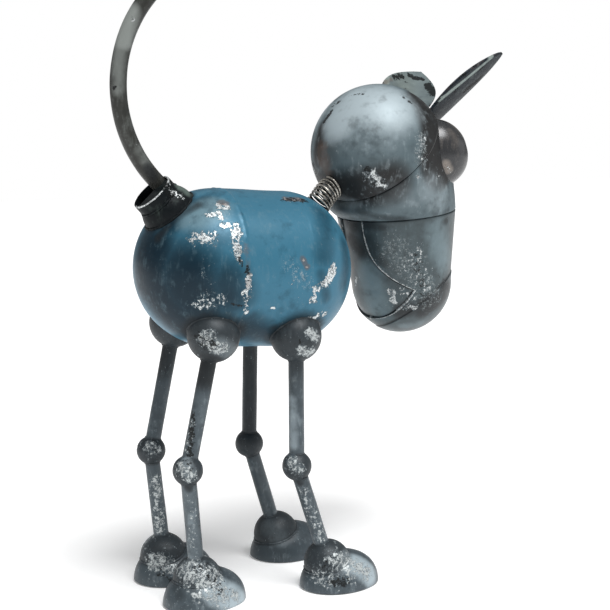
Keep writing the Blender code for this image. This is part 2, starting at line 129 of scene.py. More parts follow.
def on_body(along, degrees, stands_out):
    """A point so far along the body and so many degrees round from underneath, off its surface."""
    depth = FRONT_DOME_DEPTH if along > 0 else REAR_DOME_DEPTH
    beyond = max(0.0, abs(along) - HALF_BARREL) / depth
    out = BODY_RADIUS * math.sqrt(1 - beyond**2) + stands_out
    angle = math.radians(degrees)
    return BODY_MIDDLE + along * BODY_AXIS + out * (math.sin(angle) * LEFT - math.cos(angle) * BODY_UP)


def above_body(points):
    """Distance off the body's skin, roughly: how much the barrel and its domes would have to swell."""
    offset = points - BODY_MIDDLE
    along = offset @ BODY_AXIS
    out = np.linalg.norm(offset - along[..., None] * BODY_AXIS, axis=-1)
    depth = np.where(along > 0, FRONT_DOME_DEPTH, REAR_DOME_DEPTH)
    beyond = np.maximum(0, np.abs(along) - HALF_BARREL) / depth
    return (np.sqrt((out / BODY_RADIUS) ** 2 + beyond**2) - 1) * BODY_RADIUS


def neck_foot():
    """Where the spring stands on the front dome, and the way square off it."""
    around = math.radians(NECK_ON_DOME)
    spot = BODY_RADIUS * math.sin(around) * BODY_UP
    spot = spot + (HALF_BARREL + FRONT_DOME_DEPTH * math.cos(around)) * BODY_AXIS
    square = math.cos(around) / FRONT_DOME_DEPTH * BODY_AXIS + math.sin(around) / BODY_RADIUS * BODY_UP
    return BODY_MIDDLE + spot, unit(square)


TAIL_BALL_MIDDLE = on_body(TAIL_BALL_ALONG, 180, -TAIL_BALL_SINKS)
TAIL_AXIS = np.array([-math.cos(math.radians(TAIL_SLANT)), 0.0, math.sin(math.radians(TAIL_SLANT))])
NECK_TOP = neck_foot()[0] + NECK_SPAN
SKULL_MIDDLE = NECK_TOP + SKULL_RADIUS * unit(NECK_INTO_SKULL)
MUZZLE_AXIS, MUZZLE_FRONT = turned(MUZZLE_TILT), turned(MUZZLE_TILT + 90)
MUZZLE_START = np.array([MUZZLE_TOP[0], 0.0, MUZZLE_TOP[1]])
NOSE_MIDDLE = MUZZLE_START + MUZZLE_TAPER_LENGTH * MUZZLE_AXIS
TURN_COS, TURN_SIN = math.cos(math.radians(HEAD_TURN)), math.sin(math.radians(HEAD_TURN))
HEAD_AXES = np.array([[TURN_COS, TURN_SIN, 0], [-TURN_SIN, TURN_COS, 0], [0, 0, 1]])


def to_world(points):
    """Head axes to the part's axes: turned about Z, then moved to the middle of the skull."""
    return points @ HEAD_AXES + SKULL_MIDDLE


def from_world(points):
    """The part's axes to head axes."""
    return (points - SKULL_MIDDLE) @ HEAD_AXES.T


CAMERA_BACK = np.array([math.sin(CAMERA_TURN) * math.cos(CAMERA_TILT),
                        -math.cos(CAMERA_TURN) * math.cos(CAMERA_TILT), math.sin(CAMERA_TILT)])
CAMERA_RIGHT = np.array([math.cos(CAMERA_TURN), math.sin(CAMERA_TURN), 0.0])
CAMERA_UP = np.cross(CAMERA_BACK, CAMERA_RIGHT)
CAMERA_EYE = CAMERA_TARGET + SHIFT + CAMERA_DISTANCE * CAMERA_BACK


def seen(x, y):
    """The place on the solids that lies behind a pixel of the photograph."""
    far = PHOTO_PIXELS * CAMERA_LENS / CAMERA_SENSOR
    way = (x - PHOTO_PIXELS / 2) * CAMERA_RIGHT + (PHOTO_PIXELS / 2 - y) * CAMERA_UP - far * CAMERA_BACK
    solids = bpy.context.evaluated_depsgraph_get()
    hit, place, *_ = bpy.context.scene.ray_cast(solids, Vector(CAMERA_EYE / MM), Vector(unit(way)))
    if not hit:
        raise ValueError(f"no solid behind the pixel {x}, {y}")
    return np.array(place) * MM - SHIFT


def unevenness(points, size, seed):
    """Hand work's slow waves, about -1 to 1: the sum of sines along random ways, each about size long."""
    random, count = np.random.default_rng(seed), 14
    ways = unit(random.normal(size=(count, 3))) * 2 * math.pi
    ways = ways / (size * random.uniform(0.7, 1.6, (count, 1)))
    phase = random.uniform(0, 2 * math.pi, count)
    return np.sin(points @ ways.T + phase).sum(axis=-1) / math.sqrt(count / 2) / 1.6


# Surfaces: each one is a grid of points, shaped (rows, columns, 3)


def spun(radius, height, steps):
    """A profile turned about Z: (r cos a, r sin a, h) for every profile point and angle a."""
    angle = np.linspace(0, 2 * math.pi, steps + 1)
    radius, height = np.asarray(radius, float)[:, None], np.asarray(height, float)[:, None]
    return np.stack([radius * np.cos(angle), radius * np.sin(angle), height + 0 * angle], axis=-1)


def ways_round(polar, angle):
    """Directions by their polar angle from Z and their angle round it."""
    out = np.sin(polar)
    return np.stack([out * np.cos(angle), out * np.sin(angle), np.cos(polar) + 0 * angle], axis=-1)


def hoop(radius, height, count):
    """A closed line about Z: (r cos a, r sin a, h), without its first point again at the end."""
    angle = np.linspace(0, 2 * math.pi, count, endpoint=False)
    return np.stack([radius * np.cos(angle), radius * np.sin(angle), height + 0 * angle], axis=-1)


def ball(middle, radius, rows=64, steps=96, seed=1):
    """A sphere by polar angle and angle round, its radius uneven by about a tenth of a millimetre."""
    polar = np.linspace(math.pi, 0, rows + 1)
    points = spun(radius * np.sin(polar), radius * np.cos(polar), steps)
    points *= 1 + 0.12 / radius * unevenness(points + middle, radius, seed)[..., None]
    return points + np.asarray(middle)


def carried(path, side, radius, steps=24, lip=0.8):
    """A round bar: circles of that radius square to the path, in the plane of side and way cross side.
    Its ends are flat with an edge rounded over a quarter circle of radius lip, closed to a point."""
    way = unit(np.gradient(path, axis=0))
    side = unit(side - way * (side * way).sum(axis=-1, keepdims=True))
    radius = np.broadcast_to(radius, len(path)).astype(float)
    q = np.linspace(0, math.pi / 2, 5)
    scale = np.concatenate([[0], radius[0] - lip + lip * np.sin(q)])
    step = np.concatenate([[0], lip * (1 - np.cos(q))])
    low = path[0] + step[:, None] * way[0]
    scale_top = np.concatenate([[0], radius[-1] - lip + lip * np.sin(q)])[::-1]
    high = path[-1] - step[::-1, None] * way[-1]
    middles = np.concatenate([low, path[1:-1], high])
    rings = len(step)
    ways = np.concatenate([np.repeat(way[:1], rings, 0), way[1:-1], np.repeat(way[-1:], rings, 0)])
    sides = np.concatenate([np.repeat(side[:1], rings, 0), side[1:-1], np.repeat(side[-1:], rings, 0)])
    radii = np.concatenate([scale, radius[1:-1], scale_top])
    angle = np.linspace(0, 2 * math.pi, steps + 1)[None, :, None]
    circle = np.cos(angle) * sides[:, None] + np.sin(angle) * np.cross(ways, sides)[:, None]
    return middles[:, None] + radii[:, None, None] * circle


def bead(line, outward, radius, seed):
    """A run of weld: a closed bar of ten sides along a closed line, its radius swelling and thinning."""
    way = unit(np.roll(line, -1, axis=0) - np.roll(line, 1, axis=0))
    side = unit(outward - way * (outward * way).sum(axis=-1, keepdims=True))
    size = radius * (1 + 0.22 * unevenness(line, 5.0, seed) + 0.16 * unevenness(line, 2.2, seed + 7))
    angle = np.linspace(0, 2 * math.pi, 11)[None, :, None]
    circle = np.cos(angle) * side[:, None] + np.sin(angle) * np.cross(way, side)[:, None]
    rings = line[:, None] + size[:, None, None] * circle
    return np.concatenate([rings, rings[:1]])


def meeting_line(middle, radius, towards, off_skin):
    """Where a ball meets another skin, and the ways out there: for each angle round, the polar angle
    at which off_skin is nothing, found by halving."""
    count = 160
    angle = np.linspace(0, 2 * math.pi, count, endpoint=False)
    low, high = np.zeros(count), np.full(count, math.pi)
    for _ in range(30):
        polar = (low + high) / 2
        points = stand(radius * ways_round(polar, angle), middle, towards)
        inside = off_skin(points) < 0
        low, high = np.where(inside, polar, low), np.where(inside, high, polar)
    return points, unit(points - middle)


def rounded_rim(distance, lip):
    """How far a face drops near its edge, by the distance to the edge: a quarter circle of radius lip."""
    u = np.clip(1 - distance / lip, 0, 1)
    return lip * (1 - np.sqrt(1 - u * u))


# Marks: places where the finish is worn or where painted shade and painted highlights lie, each a line from
# one point to another with a reach and a strength


def closeness(points, marks):
    """The strongest mark at each point: strength x (1 - (distance to its line / reach)^2), never below 0."""
    best = np.zeros(len(points))
    for start, end, reach, strength in marks:
        along = end - start
        t = np.clip((points - start) @ along / max(along @ along, 1e-9), 0, 1)
        distance = np.linalg.norm(points - start - t[:, None] * along, axis=1)
        best = np.maximum(best, strength * np.clip(1 - (distance / reach) ** 2, 0, 1))
    return best


FIELDS = ("deep", "pale", "soot", "scuff", "bare", "dark", "rust")
FAR_SIDE_FROM, FAR_SIDE_FADE, FAR_SIDE_SHARE = 15.0, 15.0, 0.95


def wear_and_light_fields(marks, middle, left, more=None):
    """The fields of a piece: its marks, the same again well over on the far side, and what more adds."""

    def fields(points):
        over = (points - middle) @ left
        mirrored = points - 2 * over[:, None] * left
        share = np.clip((over - FAR_SIDE_FROM) / FAR_SIDE_FADE, 0, FAR_SIDE_SHARE)
        values = {}
        for name in FIELDS:
            rows = marks.get(name, [])
            values[name] = np.maximum(closeness(points, rows), share * closeness(mirrored, rows))
        if more:
            more(points, values)
        return values

    return fields


def raised(values, field, *amounts):
    """Raises a field to each of these amounts wherever that is higher."""
    values[field] = np.maximum.reduce([values[field], *amounts])


def near(distance, width):
    """1 on a line or a skin, falling off smoothly with the distance from it: exp(-(distance / width)^2)."""
    return np.exp(-((distance / width) ** 2))


def off_ball(points, middle, radius):
    """Distance from a ball's skin, inside or out."""
    return np.abs(np.linalg.norm(points - middle, axis=1) - radius)


def placed(marks):
    """Marks given by the photograph's pixels, put where those pixels lie on the dog, their reach in mm."""

    def on_dog(x0, y0, x1, y1, reach, strength):
        return seen(x0, y0), seen(x1, y1), MM_PER_PIXEL * reach, strength

    return {name: [on_dog(*row) for row in rows] for name, rows in marks.items()}


# Where the finish is worn and where light and shade are painted: across and down the photograph to both ends
# of a mark, its reach, all in pixels, and its strength. The fields: 'deep' darkens the paint and 'pale'
# lightens it, mostly as painted shade and painted highlights, the soot field is grime and painted shade in
# creases, gaps and under parts, 'scuff' is fine scratching, 'bare' opens chips to steel, 'dark' to old
# primer, and 'rust' browns
BODY_MARKS = placed({
    # Painted shade, with some of the paint's own darker tone: the rear end, the lower sides and underside,
    # and a band by the front seam
    "deep": [
        (150, 255, 150, 285, 44, 1), (186, 280, 190, 296, 52, 0.95), (226, 284, 230, 296, 34, 0.75),
        (180, 236, 215, 236, 24, 0.35), (344, 246, 344, 282, 15, 0.5), (246, 326, 262, 334, 26, 0.8),
        (322, 214, 323, 256, 17, 0.5), (321, 274, 326, 298, 9, 0.5), (262, 330, 300, 322, 26, 0.2),
        (160, 235, 205, 205, 20, 0.8), (160, 300, 182, 322, 40, 1),
    ],
    # Painted highlights on the top of the barrel
    "pale": [
        (196, 216, 212, 208, 26, 0.9), (262, 230, 275, 228, 26, 0.25),
    ],
    # Painted shade and grime where the hips meet the underside, by the tail ball and along the rear seam
    "soot": [
        (190, 326, 236, 326, 11, 0.75), (276, 328, 320, 326, 11, 0.75), (158, 238, 198, 206, 8, 0.8),
        (241, 214, 247, 300, 3.4, 0.5),
    ],
    "bare": [
        (219, 206, 226, 207, 7.5, 1), (208, 216, 213, 215, 5, 1.1), (219, 213, 221, 218, 4.5, 1.1),
        (222, 226, 238, 226, 4.5, 0.95), (237, 229, 237, 250, 9, 1), (195, 237, 211, 238, 10, 0.9),
        (239, 257, 240, 263, 4.5, 0.95), (248, 274, 248, 296, 5.5, 0.95),
        (244, 291, 246, 312, 4.5, 0.9), (197, 303, 220, 301, 11, 0.82), (287, 199, 300, 200, 7, 0.9),
        (303, 259, 304, 260, 3, 0.95), (306, 266, 307, 267, 3, 0.95), (334, 268, 326, 282, 7.5, 1.1),
        (326, 282, 317, 289, 6.5, 1), (316, 288, 313, 300, 6, 0.95), (272, 308, 274, 308, 2.6, 1),
        (308, 320, 325, 313, 5, 0.85), (204, 270, 206, 282, 5, 0.55), (283, 290, 292, 282, 6, 0.5),
    ],
    "scuff": [
        (287, 263, 306, 284, 12, 0.8), (222, 210, 239, 250, 12, 0.7), (205, 236, 212, 302, 12, 0.5),
    ],
    "rust": [
        (221, 203, 226, 204, 6.5, 0.9), (287, 199, 300, 200, 8, 1), (303, 259, 307, 267, 5, 0.9),
        (246, 246, 248, 286, 6, 0.6),
    ],
    "dark": [
        (239, 257, 240, 263, 6, 0.75), (247, 269, 248, 284, 6, 0.75), (284, 200, 303, 201, 8, 0.8),
        (232, 303, 242, 306, 4, 0.7),
    ],
})
LEG_MARKS = placed({
    # Chips to steel; the rows on the feet and toes also stand for painted highlights
    "bare": [
        (203, 340, 210, 336, 9, 0.95), (214, 346, 222, 349, 10, 0.95), (310, 334, 316, 337, 9, 0.95),
        (302, 350, 310, 352, 9, 0.95), (192, 420, 188, 450, 5, 0.6), (304, 492, 322, 538, 9, 0.45),
        (156, 480, 160, 530, 9, 0.62), (190, 500, 194, 545, 6, 0.3), (180, 468, 190, 476, 11, 0.66),
        (290, 462, 298, 470, 10, 0.6), (150, 446, 156, 450, 9, 0.6), (190, 572, 212, 580, 20, 0.66),
        (155, 562, 170, 566, 14, 0.7), (336, 558, 350, 572, 14, 0.6), (205, 592, 225, 596, 16, 0.62),
        (318, 575, 326, 580, 12, 0.55), (222, 594, 236, 596, 10, 0.6), (346, 560, 366, 572, 11, 0.72),
    ],
    "dark": [
        (200, 340, 212, 345, 10, 0.7), (300, 342, 308, 358, 8, 0.6), (193, 416, 190, 455, 6, 0.8),
        (197, 495, 201, 545, 4, 0.5), (300, 492, 316, 530, 4, 0.35), (186, 462, 192, 466, 8, 0.6),
        (334, 582, 346, 583, 9, 0.85), (200, 566, 222, 590, 14, 0.6), (160, 572, 168, 580, 8, 0.6),
        (322, 566, 332, 560, 8, 0.5),
    ],
    # Painted shade and grime: close under the body, on the tops of the thighs, and in the creases round the
    # balls and feet
    "soot": [
        (198, 322, 232, 320, 12, 0.7), (282, 322, 312, 322, 11, 0.7), (212, 356, 218, 358, 7, 0.7),
        (296, 358, 300, 359, 7, 0.7), (206, 370, 208, 362, 26, 1.15), (296, 366, 295, 362, 16, 0.6),
        (250, 356, 250, 430, 22, 0.8), (162, 364, 164, 360, 24, 0.8), (187, 487, 189, 489, 6, 0.8),
        (298, 481, 300, 483, 6, 0.8), (255, 458, 262, 500, 10, 0.25), (262, 545, 276, 552, 30, 0.35),
        (175, 580, 180, 596, 9, 0.6),
    ],
    # Painted highlights on the hips, the shins, the feet and the toes
    "pale": [
        (220, 346, 230, 352, 13, 0.8), (200, 400, 198, 420, 12, 0.3), (292, 400, 293, 445, 8, 0.55),
        (186, 492, 192, 552, 14, 0.25), (257, 470, 262, 500, 12, 0.2), (186, 464, 190, 472, 10, 0.8),
        (292, 462, 298, 468, 9, 0.6), (216, 590, 238, 602, 20, 1.1), (188, 566, 202, 576, 16, 0.6),
        (350, 562, 370, 574, 17, 1.1), (268, 526, 280, 538, 14, 0.5),
    ],
})
TAIL_MARKS = placed({
    "dark": [
        (114, 86, 115, 92, 3.5, 1), (166, 184, 170, 196, 8, 0.85), (141, 201, 143, 201, 4, 0.9),
    ],
    # The bare speck on top of the ball is a painted highlight
    "bare": [
        (129, 12, 133, 20, 3.2, 0.8), (168, 184, 171, 192, 6, 0.75), (177, 195, 181, 195, 6.5, 0.8),
    ],
    # Painted highlights on the rod's upper right and on the ball
    "pale": [
        (129, 12, 122, 40, 14, 1), (119, 40, 118, 90, 10, 0.6), (140, 150, 148, 164, 9, 0.5),
        (180, 188, 186, 192, 9, 1),
    ],
    # Painted shade at the rod's low end and where the ball meets the body
    "soot": [
        (148, 168, 153, 176, 8, 0.9), (160, 224, 186, 212, 9, 0.7),
    ],
})
HEAD_MARKS = placed({
    "dark": [
        (325, 122, 331, 112, 5, 0.9), (333, 106, 341, 101, 4.5, 0.9), (350, 96, 363, 94, 3.2, 0.85),
        (401, 96, 410, 103, 3.6, 0.85), (364, 167, 368, 169, 5, 0.95),
    ],
    "bare": [
        (421, 141, 421, 155, 10, 0.64), (371, 174, 381, 183, 12, 0.78), (418, 176, 422, 176, 4, 0.8),
        (424, 160, 426, 166, 6, 0.5), (436, 168, 438, 176, 5, 0.5),
    ],
    "scuff": [
        (421, 138, 421, 158, 12, 1),
    ],
    "rust": [
        (322, 150, 326, 168, 16, 0.75),
    ],
    # Painted highlights: the broad soft light on top of the skull and the lighter middle of the band
    "pale": [
        (360, 100, 384, 104, 50, 0.95), (350, 130, 384, 134, 34, 0.42), (340, 120, 352, 108, 32, 1),
        (396, 196, 414, 198, 28, 0.25), (348, 203, 354, 207, 14, 0.45), (430, 188, 440, 198, 26, 0.45),
    ],
    # Painted shade, with some of the paint's own darker tone: the skull's underside and its left and right
    # edges
    "deep": [
        (345, 190, 390, 182, 30, 1), (318, 178, 334, 186, 18, 0.9), (430, 112, 440, 160, 36, 1.9),
        (322, 130, 318, 160, 14, 0.9), (330, 140, 326, 160, 20, 0.4),
    ],
    # Painted shade and grime under the skull, where it meets the spring and the eye, and along the band's
    # seam
    "soot": [
        (334, 176, 346, 192, 9, 0.8), (366, 172, 384, 190, 14, 0.45), (436, 126, 440, 146, 7, 0.5),
        (342, 208, 360, 214, 6, 0.35), (360, 211, 402, 219, 8, 0.7), (402, 219, 448, 210, 6, 0.6),
    ],
})
MUZZLE_MARKS = placed({
    # Painted shadow at the muzzle's top where it meets the band and the body, with some grime lower down
    "soot": [
        (340, 216, 352, 222, 17, 1), (352, 218, 372, 224, 12, 0.8), (380, 227, 446, 221, 6.5, 0.75),
        (352, 240, 360, 250, 14, 0.9), (372, 270, 386, 280, 6, 0.4), (428, 300, 443, 284, 5, 0.6),
    ],
    # Painted shade on the muzzle's left and under the chin
    "deep": [
        (366, 240, 380, 262, 16, 0.5), (400, 312, 430, 300, 12, 0.9), (424, 308, 444, 290, 16, 1.1),
    ],
    # Mostly painted highlights, brightest on the muzzle's right side
    "pale": [
        (436, 232, 444, 260, 24, 0.62), (392, 236, 410, 240, 22, 0.25), (370, 276, 376, 306, 24, 0.72),
        (402, 325, 420, 322, 9, 0.5),
    ],
    "bare": [
        (412, 254, 424, 286, 18, 0.6), (393, 252, 404, 272, 12, 0.52), (404, 290, 414, 296, 10, 0.6),
        (404, 307, 418, 306, 6, 0.8), (389, 291, 394, 293, 6, 0.9), (392, 299, 396, 301, 5, 0.9),
        (357, 278, 357, 286, 3.6, 0.9),
    ],
    "scuff": [
        (395, 250, 430, 295, 26, 0.9),
    ],
    "dark": [
        (416, 262, 424, 292, 14, 0.55), (434, 270, 444, 278, 5, 0.6),
    ],
    "rust": [
        (352, 262, 354, 290, 8, 0.6),
    ],
})
EAR_MARKS = placed({
    "dark": [
        (466, 90, 480, 78, 6.5, 1.3), (450, 97, 458, 88, 3, 0.8), (478, 71, 486, 65, 3.2, 0.7),
        (394, 77, 402, 76, 6, 1.1), (410, 76, 421, 79, 7, 1.2), (427, 84, 434, 94, 7, 1.3),
        (404, 81, 407, 82, 3, 0.7),
    ],
    "rust": [
        (384, 83, 392, 79, 5, 0.7), (396, 76, 420, 78, 5, 0.5),
    ],
    # Painted highlight along the near ear's upper edge
    "pale": [
        (440, 100, 492, 56, 3.2, 1.2),
    ],
    # Painted shade over the near ear's face
    "deep": [
        (440, 114, 484, 72, 16, 0.9),
    ],
})
EYE_MARKS = placed({
    "pale": [
        (446, 164, 449, 170, 7, 0.9), (450, 132, 456, 142, 8, 0.4),
    ],
    "bare": [
        (447, 166, 449, 170, 5, 0.7),
    ],
    "rust": [
        (440, 168, 448, 172, 7, 0.3),
    ],
    # Painted shadow in the gap between the eye and the skull
    "soot": [
        (437, 140, 440, 172, 5, 0.6),
    ],
})


# Making a piece

SAME_PLACE, SHARP_EDGE = 0.004, 38.0


def squares(rows, columns, first=0):
    """The faces of a grid of points: each square's four corners, by the points' numbers row after row."""
    number = first + np.arange(rows * columns).reshape(rows, columns)
    corners = [number[:-1, :-1], number[:-1, 1:], number[1:, 1:], number[1:, :-1]]
    return np.stack(corners, axis=-1).reshape(-1, 4)


def piece(name, sheets, look, nodes, fields):
    """Grids of points made into one mesh, doubles merged, faces outward, with the fields on its points."""
    faces, points, first = [], [], 0
    for sheet in sheets:
        rows, columns = sheet.shape[:2]
        faces.append(squares(rows, columns, first))
        points.append(sheet.reshape(-1, 3))
        first += rows * columns
    points = (np.concatenate(points) + SHIFT) / MM
    mesh = bpy.data.meshes.new(name)
    mesh.from_pydata(points.tolist(), [], np.concatenate(faces).tolist())
    shape = bmesh.new()
    shape.from_mesh(mesh)
    bmesh.ops.remove_doubles(shape, verts=shape.verts, dist=SAME_PLACE / MM)
    bmesh.ops.recalc_face_normals(shape, faces=shape.faces)
    shape.to_mesh(mesh)
    shape.free()
    mesh.polygons.foreach_set("use_smooth", np.ones(len(mesh.polygons), bool))
    mesh.set_sharp_from_angle(angle=math.radians(SHARP_EDGE))
    place = np.empty(len(mesh.vertices) * 3, np.float32)
    mesh.vertices.foreach_get("co", place)
    place = place.reshape(-1, 3).astype(float) * MM - SHIFT
    for field, values in fields(place).items():
        mesh.attributes.new(field, "FLOAT", "POINT").data.foreach_set("value", values.astype(np.float32))
    mesh.materials.append(look)
    made = bpy.data.objects.new(name, mesh)
    bpy.context.scene.collection.objects.link(made)
    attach(made, "root")
    if nodes:
        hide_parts(*nodes)


# Finishes


def colour(code):
    """A screen colour such as 5d8ba3 as the shader's own light values."""
    parts = [int(code[i : i + 2], 16) / 255 for i in (0, 2, 4)]
    return (*[p / 12.92 if p <= 0.04045 else ((p + 0.055) / 1.055) ** 2.4 for p in parts], 1.0)


class Wire:
    """One output of a shader node. Arithmetic on it adds Math nodes, from either side."""

    def __init__(self, finish, socket):
        self.finish, self.socket = finish, socket

    def __add__(self, other):
        return self.finish.maths("ADD", self, other)

    def __sub__(self, other):
        return self.finish.maths("SUBTRACT", self, other)

    def __rsub__(self, other):
        return self.finish.maths("SUBTRACT", other, self)

    def __mul__(self, other):
        return self.finish.maths("MULTIPLY", self, other)

    __radd__ = __add__
    __rmul__ = __mul__


class Finish:
    """A material being made: its shader, and the nodes that feed it."""

    def __init__(self, name):
        self.material = bpy.data.materials.new(name)
        self.material.use_nodes = True
        self.tree = self.material.node_tree
        self.tree.nodes.clear()
        self.shader = self.tree.nodes.new("ShaderNodeBsdfPrincipled")
        output = self.tree.nodes.new("ShaderNodeOutputMaterial")
        self.tree.links.new(self.shader.outputs[0], output.inputs["Surface"])
        place = self.node("ShaderNodeTexCoord", out="Object")
        self.place = self.node("ShaderNodeVectorMath", {"operation": "SCALE"}, {0: place, "Scale": MM})

    def node(self, kind, settings=None, sockets=None, out=0):
        """A node of that kind, its settings first and then its sockets' values or links."""
        made = self.tree.nodes.new(kind)
        for key, value in (settings or {}).items():
            setattr(made, key, value)
        for key, value in (sockets or {}).items():
            self.feed(made.inputs[key], value)
        return Wire(self, made.outputs[out])

    def feed(self, socket, value):
        if isinstance(value, Wire):
            self.tree.links.new(value.socket, socket)
        else:
            socket.default_value = value

    def maths(self, operation, a, b):
        return self.node("ShaderNodeMath", {"operation": operation}, {0: a, 1: b})

    def smooth(self, value, low, high):
        """From 0 to 1, eased, as the value goes from low to high."""
        settings = {"interpolation_type": "SMOOTHSTEP"}
        return self.node("ShaderNodeMapRange", settings, {0: value, 1: low, 2: high})

    def mix(self, mask, under, over):
        """The over colour laid on the under colour through the mask."""
        settings = {"data_type": "RGBA"}
        return self.node("ShaderNodeMix", settings, {0: mask, 6: under, 7: over}, out=2)

    def noise(self, size, seed, detail=3.0, rough=0.55, stretch=None, warp=0.0):
        """Cloudy noise, about 0.2 to 0.8, in clouds about size across, longer where stretch is small."""
        place = self.place
        if stretch:
            settings = {"operation": "MULTIPLY"}
            place = self.node("ShaderNodeVectorMath", settings, {0: place, 1: stretch})
        sockets = {"Vector": place, "W": float(seed), "Scale": 1 / size, "Detail": detail}
        sockets.update({"Roughness": rough, "Distortion": warp})
        return self.node("ShaderNodeTexNoise", {"noise_dimensions": "4D"}, sockets)

    def field(self, name):
        return self.node("ShaderNodeAttribute", {"attribute_name": name}, out="Fac")

    def set(self, **values):
        """Puts values or links on the shader's sockets; a name's underscores stand for spaces."""
        for key, value in values.items():
            self.feed(self.shader.inputs[key.replace("_", " ")], value)

    def bump(self, height, distance):
        """Raises the skin by its height, a height of 1 being that distance."""
        sockets = {"Strength": 1.0, "Distance": distance / MM, "Height": height}
        self.set(Normal=self.node("ShaderNodeBump", {}, sockets))


# What lies on every paint and what shows through it
# The soot colour stands for grime and also for painted shade in creases, gaps and under parts
SOOT_AND_SHADE, SCRATCH, PRIMER, CHIP_EDGE = "15191c", "a5afb1", "101314", "262d31"
DULL_STEEL, RUSTED_PAINT, RUSTED_STEEL = "63676a", "6a5040", "75605a"
STEEL_SOOT_AND_SHADE, STEEL_RUST = "121313", "6a4630"


def worn_paint(name, main, deep, pale, seed, scuffs=0.5, gloss=0.40, bright="dfe3e3", silver=1.0, chips=4.5,
               shine=0.5):
    """Satin paint over steel, darker where the field 'deep' says, mostly as painted shade, and greyer where
    'pale' says, mostly as painted highlight. 'bare' opens chips down to steel inside a thin pale halo, 'dark'
    leaves black primer, 'rust' browns, and the soot field lays old grime and painted shade in creases and
    gaps. The chips' blots are about chips across, silver says how clean their steel is, scuffs how many fine
    specks there are, gloss how rough the paint is and shine how strongly it reflects."""
    f = Finish(name)
    wide, middling, small = f.noise(38, seed), f.noise(8, seed + 1, 4), f.noise(2.4, seed + 2, 4, 0.62)
    grain, blot = f.noise(0.8, seed + 3, 3, 0.6), f.noise(chips, seed + 5, 6, 0.72, warp=0.3)
    streaks = f.noise(3.0, seed + 4, 4, 0.6, stretch=(1.0, 1.0, 0.22), warp=0.5)
    # Painted shade from the field 'deep' and painted highlights from 'pale', each blended with the paint's
    # own mottling
    tone = f.field("deep") + (wide - 0.5) * 0.5 + (middling - 0.5) * 0.12
    coat = f.mix(f.smooth(tone, 0.0, 0.95), colour(main), colour(deep))
    tone = f.field("pale") + (wide - 0.5) * 0.4 + (middling - 0.5) * 0.25
    coat = f.mix(f.smooth(tone, 0.1, 1.0), coat, colour(pale))
    coat = f.mix(f.smooth(middling + (streaks - 0.5) * 0.9, 0.50, 0.85) * 0.28, coat, colour(pale))
    coat = f.mix(f.smooth(middling + (wide - 0.5) * 0.8, 0.48, 0.22) * 0.35, coat, colour(deep))
    # Grime and painted shade from the soot field, laid towards the soot colour
    soot = f.smooth(f.field("soot") + (middling - 0.5) * 0.5 + (small - 0.5) * 0.25, 0.10, 1.0)
    coat = f.mix(soot * 0.88, coat, colour(SOOT_AND_SHADE))
    rust = f.smooth(f.field("rust") + (middling - 0.5) * 0.8 + (small - 0.5) * 0.6, 0.30, 0.85)
    coat = f.mix(rust * 0.5, coat, colour(RUSTED_PAINT))
    scuff = f.smooth(f.field("scuff") * 0.35 + (small - 0.5) * 1.0 + (grain - 0.5) * 0.9, 0.26, 0.50)
    specks = f.smooth(small + (streaks - 0.5) * 0.6 + (grain - 0.5) * 0.6, 0.68, 0.84) * scuffs
    coat = f.mix(f.maths("MAXIMUM", scuff * 0.6, specks * 0.7), coat, colour(SCRATCH))
    ragged = (small - 0.5) * 0.9 + (streaks - 0.5) * 0.7 + (grain - 0.5) * 0.4
    height = f.field("bare") * 0.57 + (blot - 0.5) * 1.7 + ragged
    halo, rim = f.smooth(height, 0.30, 0.42), f.smooth(height, 0.38, 0.44)
    chip = f.smooth(height, 0.45, 0.50)
    black = f.field("dark") * 0.62 + (blot - 0.5) * -1.9 + (small - 0.5) * 0.8 + (grain - 0.5) * 0.2
    black = f.smooth(black, 0.44, 0.49)
    metal = f.mix(f.smooth(small + (grain - 0.5) * 1.2, 0.38, 0.56), colour(DULL_STEEL), colour(bright))
    metal = f.mix(rust * 0.7, metal, colour(RUSTED_STEEL))
    surface = f.mix(halo * 0.35, coat, colour(pale))
    surface = f.mix(rim * 0.65 * silver, surface, colour(CHIP_EDGE))
    surface = f.mix(chip * silver, surface, metal)
    surface = f.mix(black * 0.93, surface, colour(PRIMER))
    f.set(Base_Color=surface, Metallic=chip * (1 - rust) * (1 - black) * 0.3 + 0.15)
    f.set(Roughness=(small - 0.5) * 0.25 + (streaks - 0.5) * 0.15 + gloss + black * 0.12 + soot * 0.15)
    f.set(Specular_IOR_Level=shine)
    relief = (grain - 0.5) * 0.05 + (small - 0.5) * 0.12 - rim * 0.25 - black * 0.3
    f.bump(relief + (streaks - 0.5) * 0.08, 0.5)
    return f.material


def bare_steel(name, main, dark, seed, gloss=0.34):
    """Bare worked steel: mottled between two greys, with soot and painted shade and with 'rust' where marked.
    """
    f = Finish(name)
    middling, small = f.noise(7, seed, 4), f.noise(1.6, seed + 1, 4, 0.6)
    grain = f.noise(0.5, seed + 2, 2)
    base = f.mix(f.smooth(middling + (small - 0.5) * 0.7, 0.3, 0.7), colour(dark), colour(main))
    # Grime and painted shade on the steel, such as the spring's inner side and the gap round the eye
    soot = f.smooth(f.field("soot") + (middling - 0.5) * 0.5, 0.15, 0.85)
    base = f.mix(soot * 0.9, base, colour(STEEL_SOOT_AND_SHADE))
    rust = f.smooth(f.field("rust") + (middling - 0.5) * 0.8 + (small - 0.5) * 0.5, 0.35, 0.75)
    base = f.mix(rust * 0.8, base, colour(STEEL_RUST))
    f.set(Base_Color=base, Metallic=0.85 - rust * 0.6 - soot * 0.4)
    f.set(Roughness=(small - 0.5) * 0.3 + gloss + soot * 0.3 + rust * 0.3)
    f.bump((small - 0.5) * 0.3 + (grain - 0.5) * 0.15, 0.4)
    return f.material


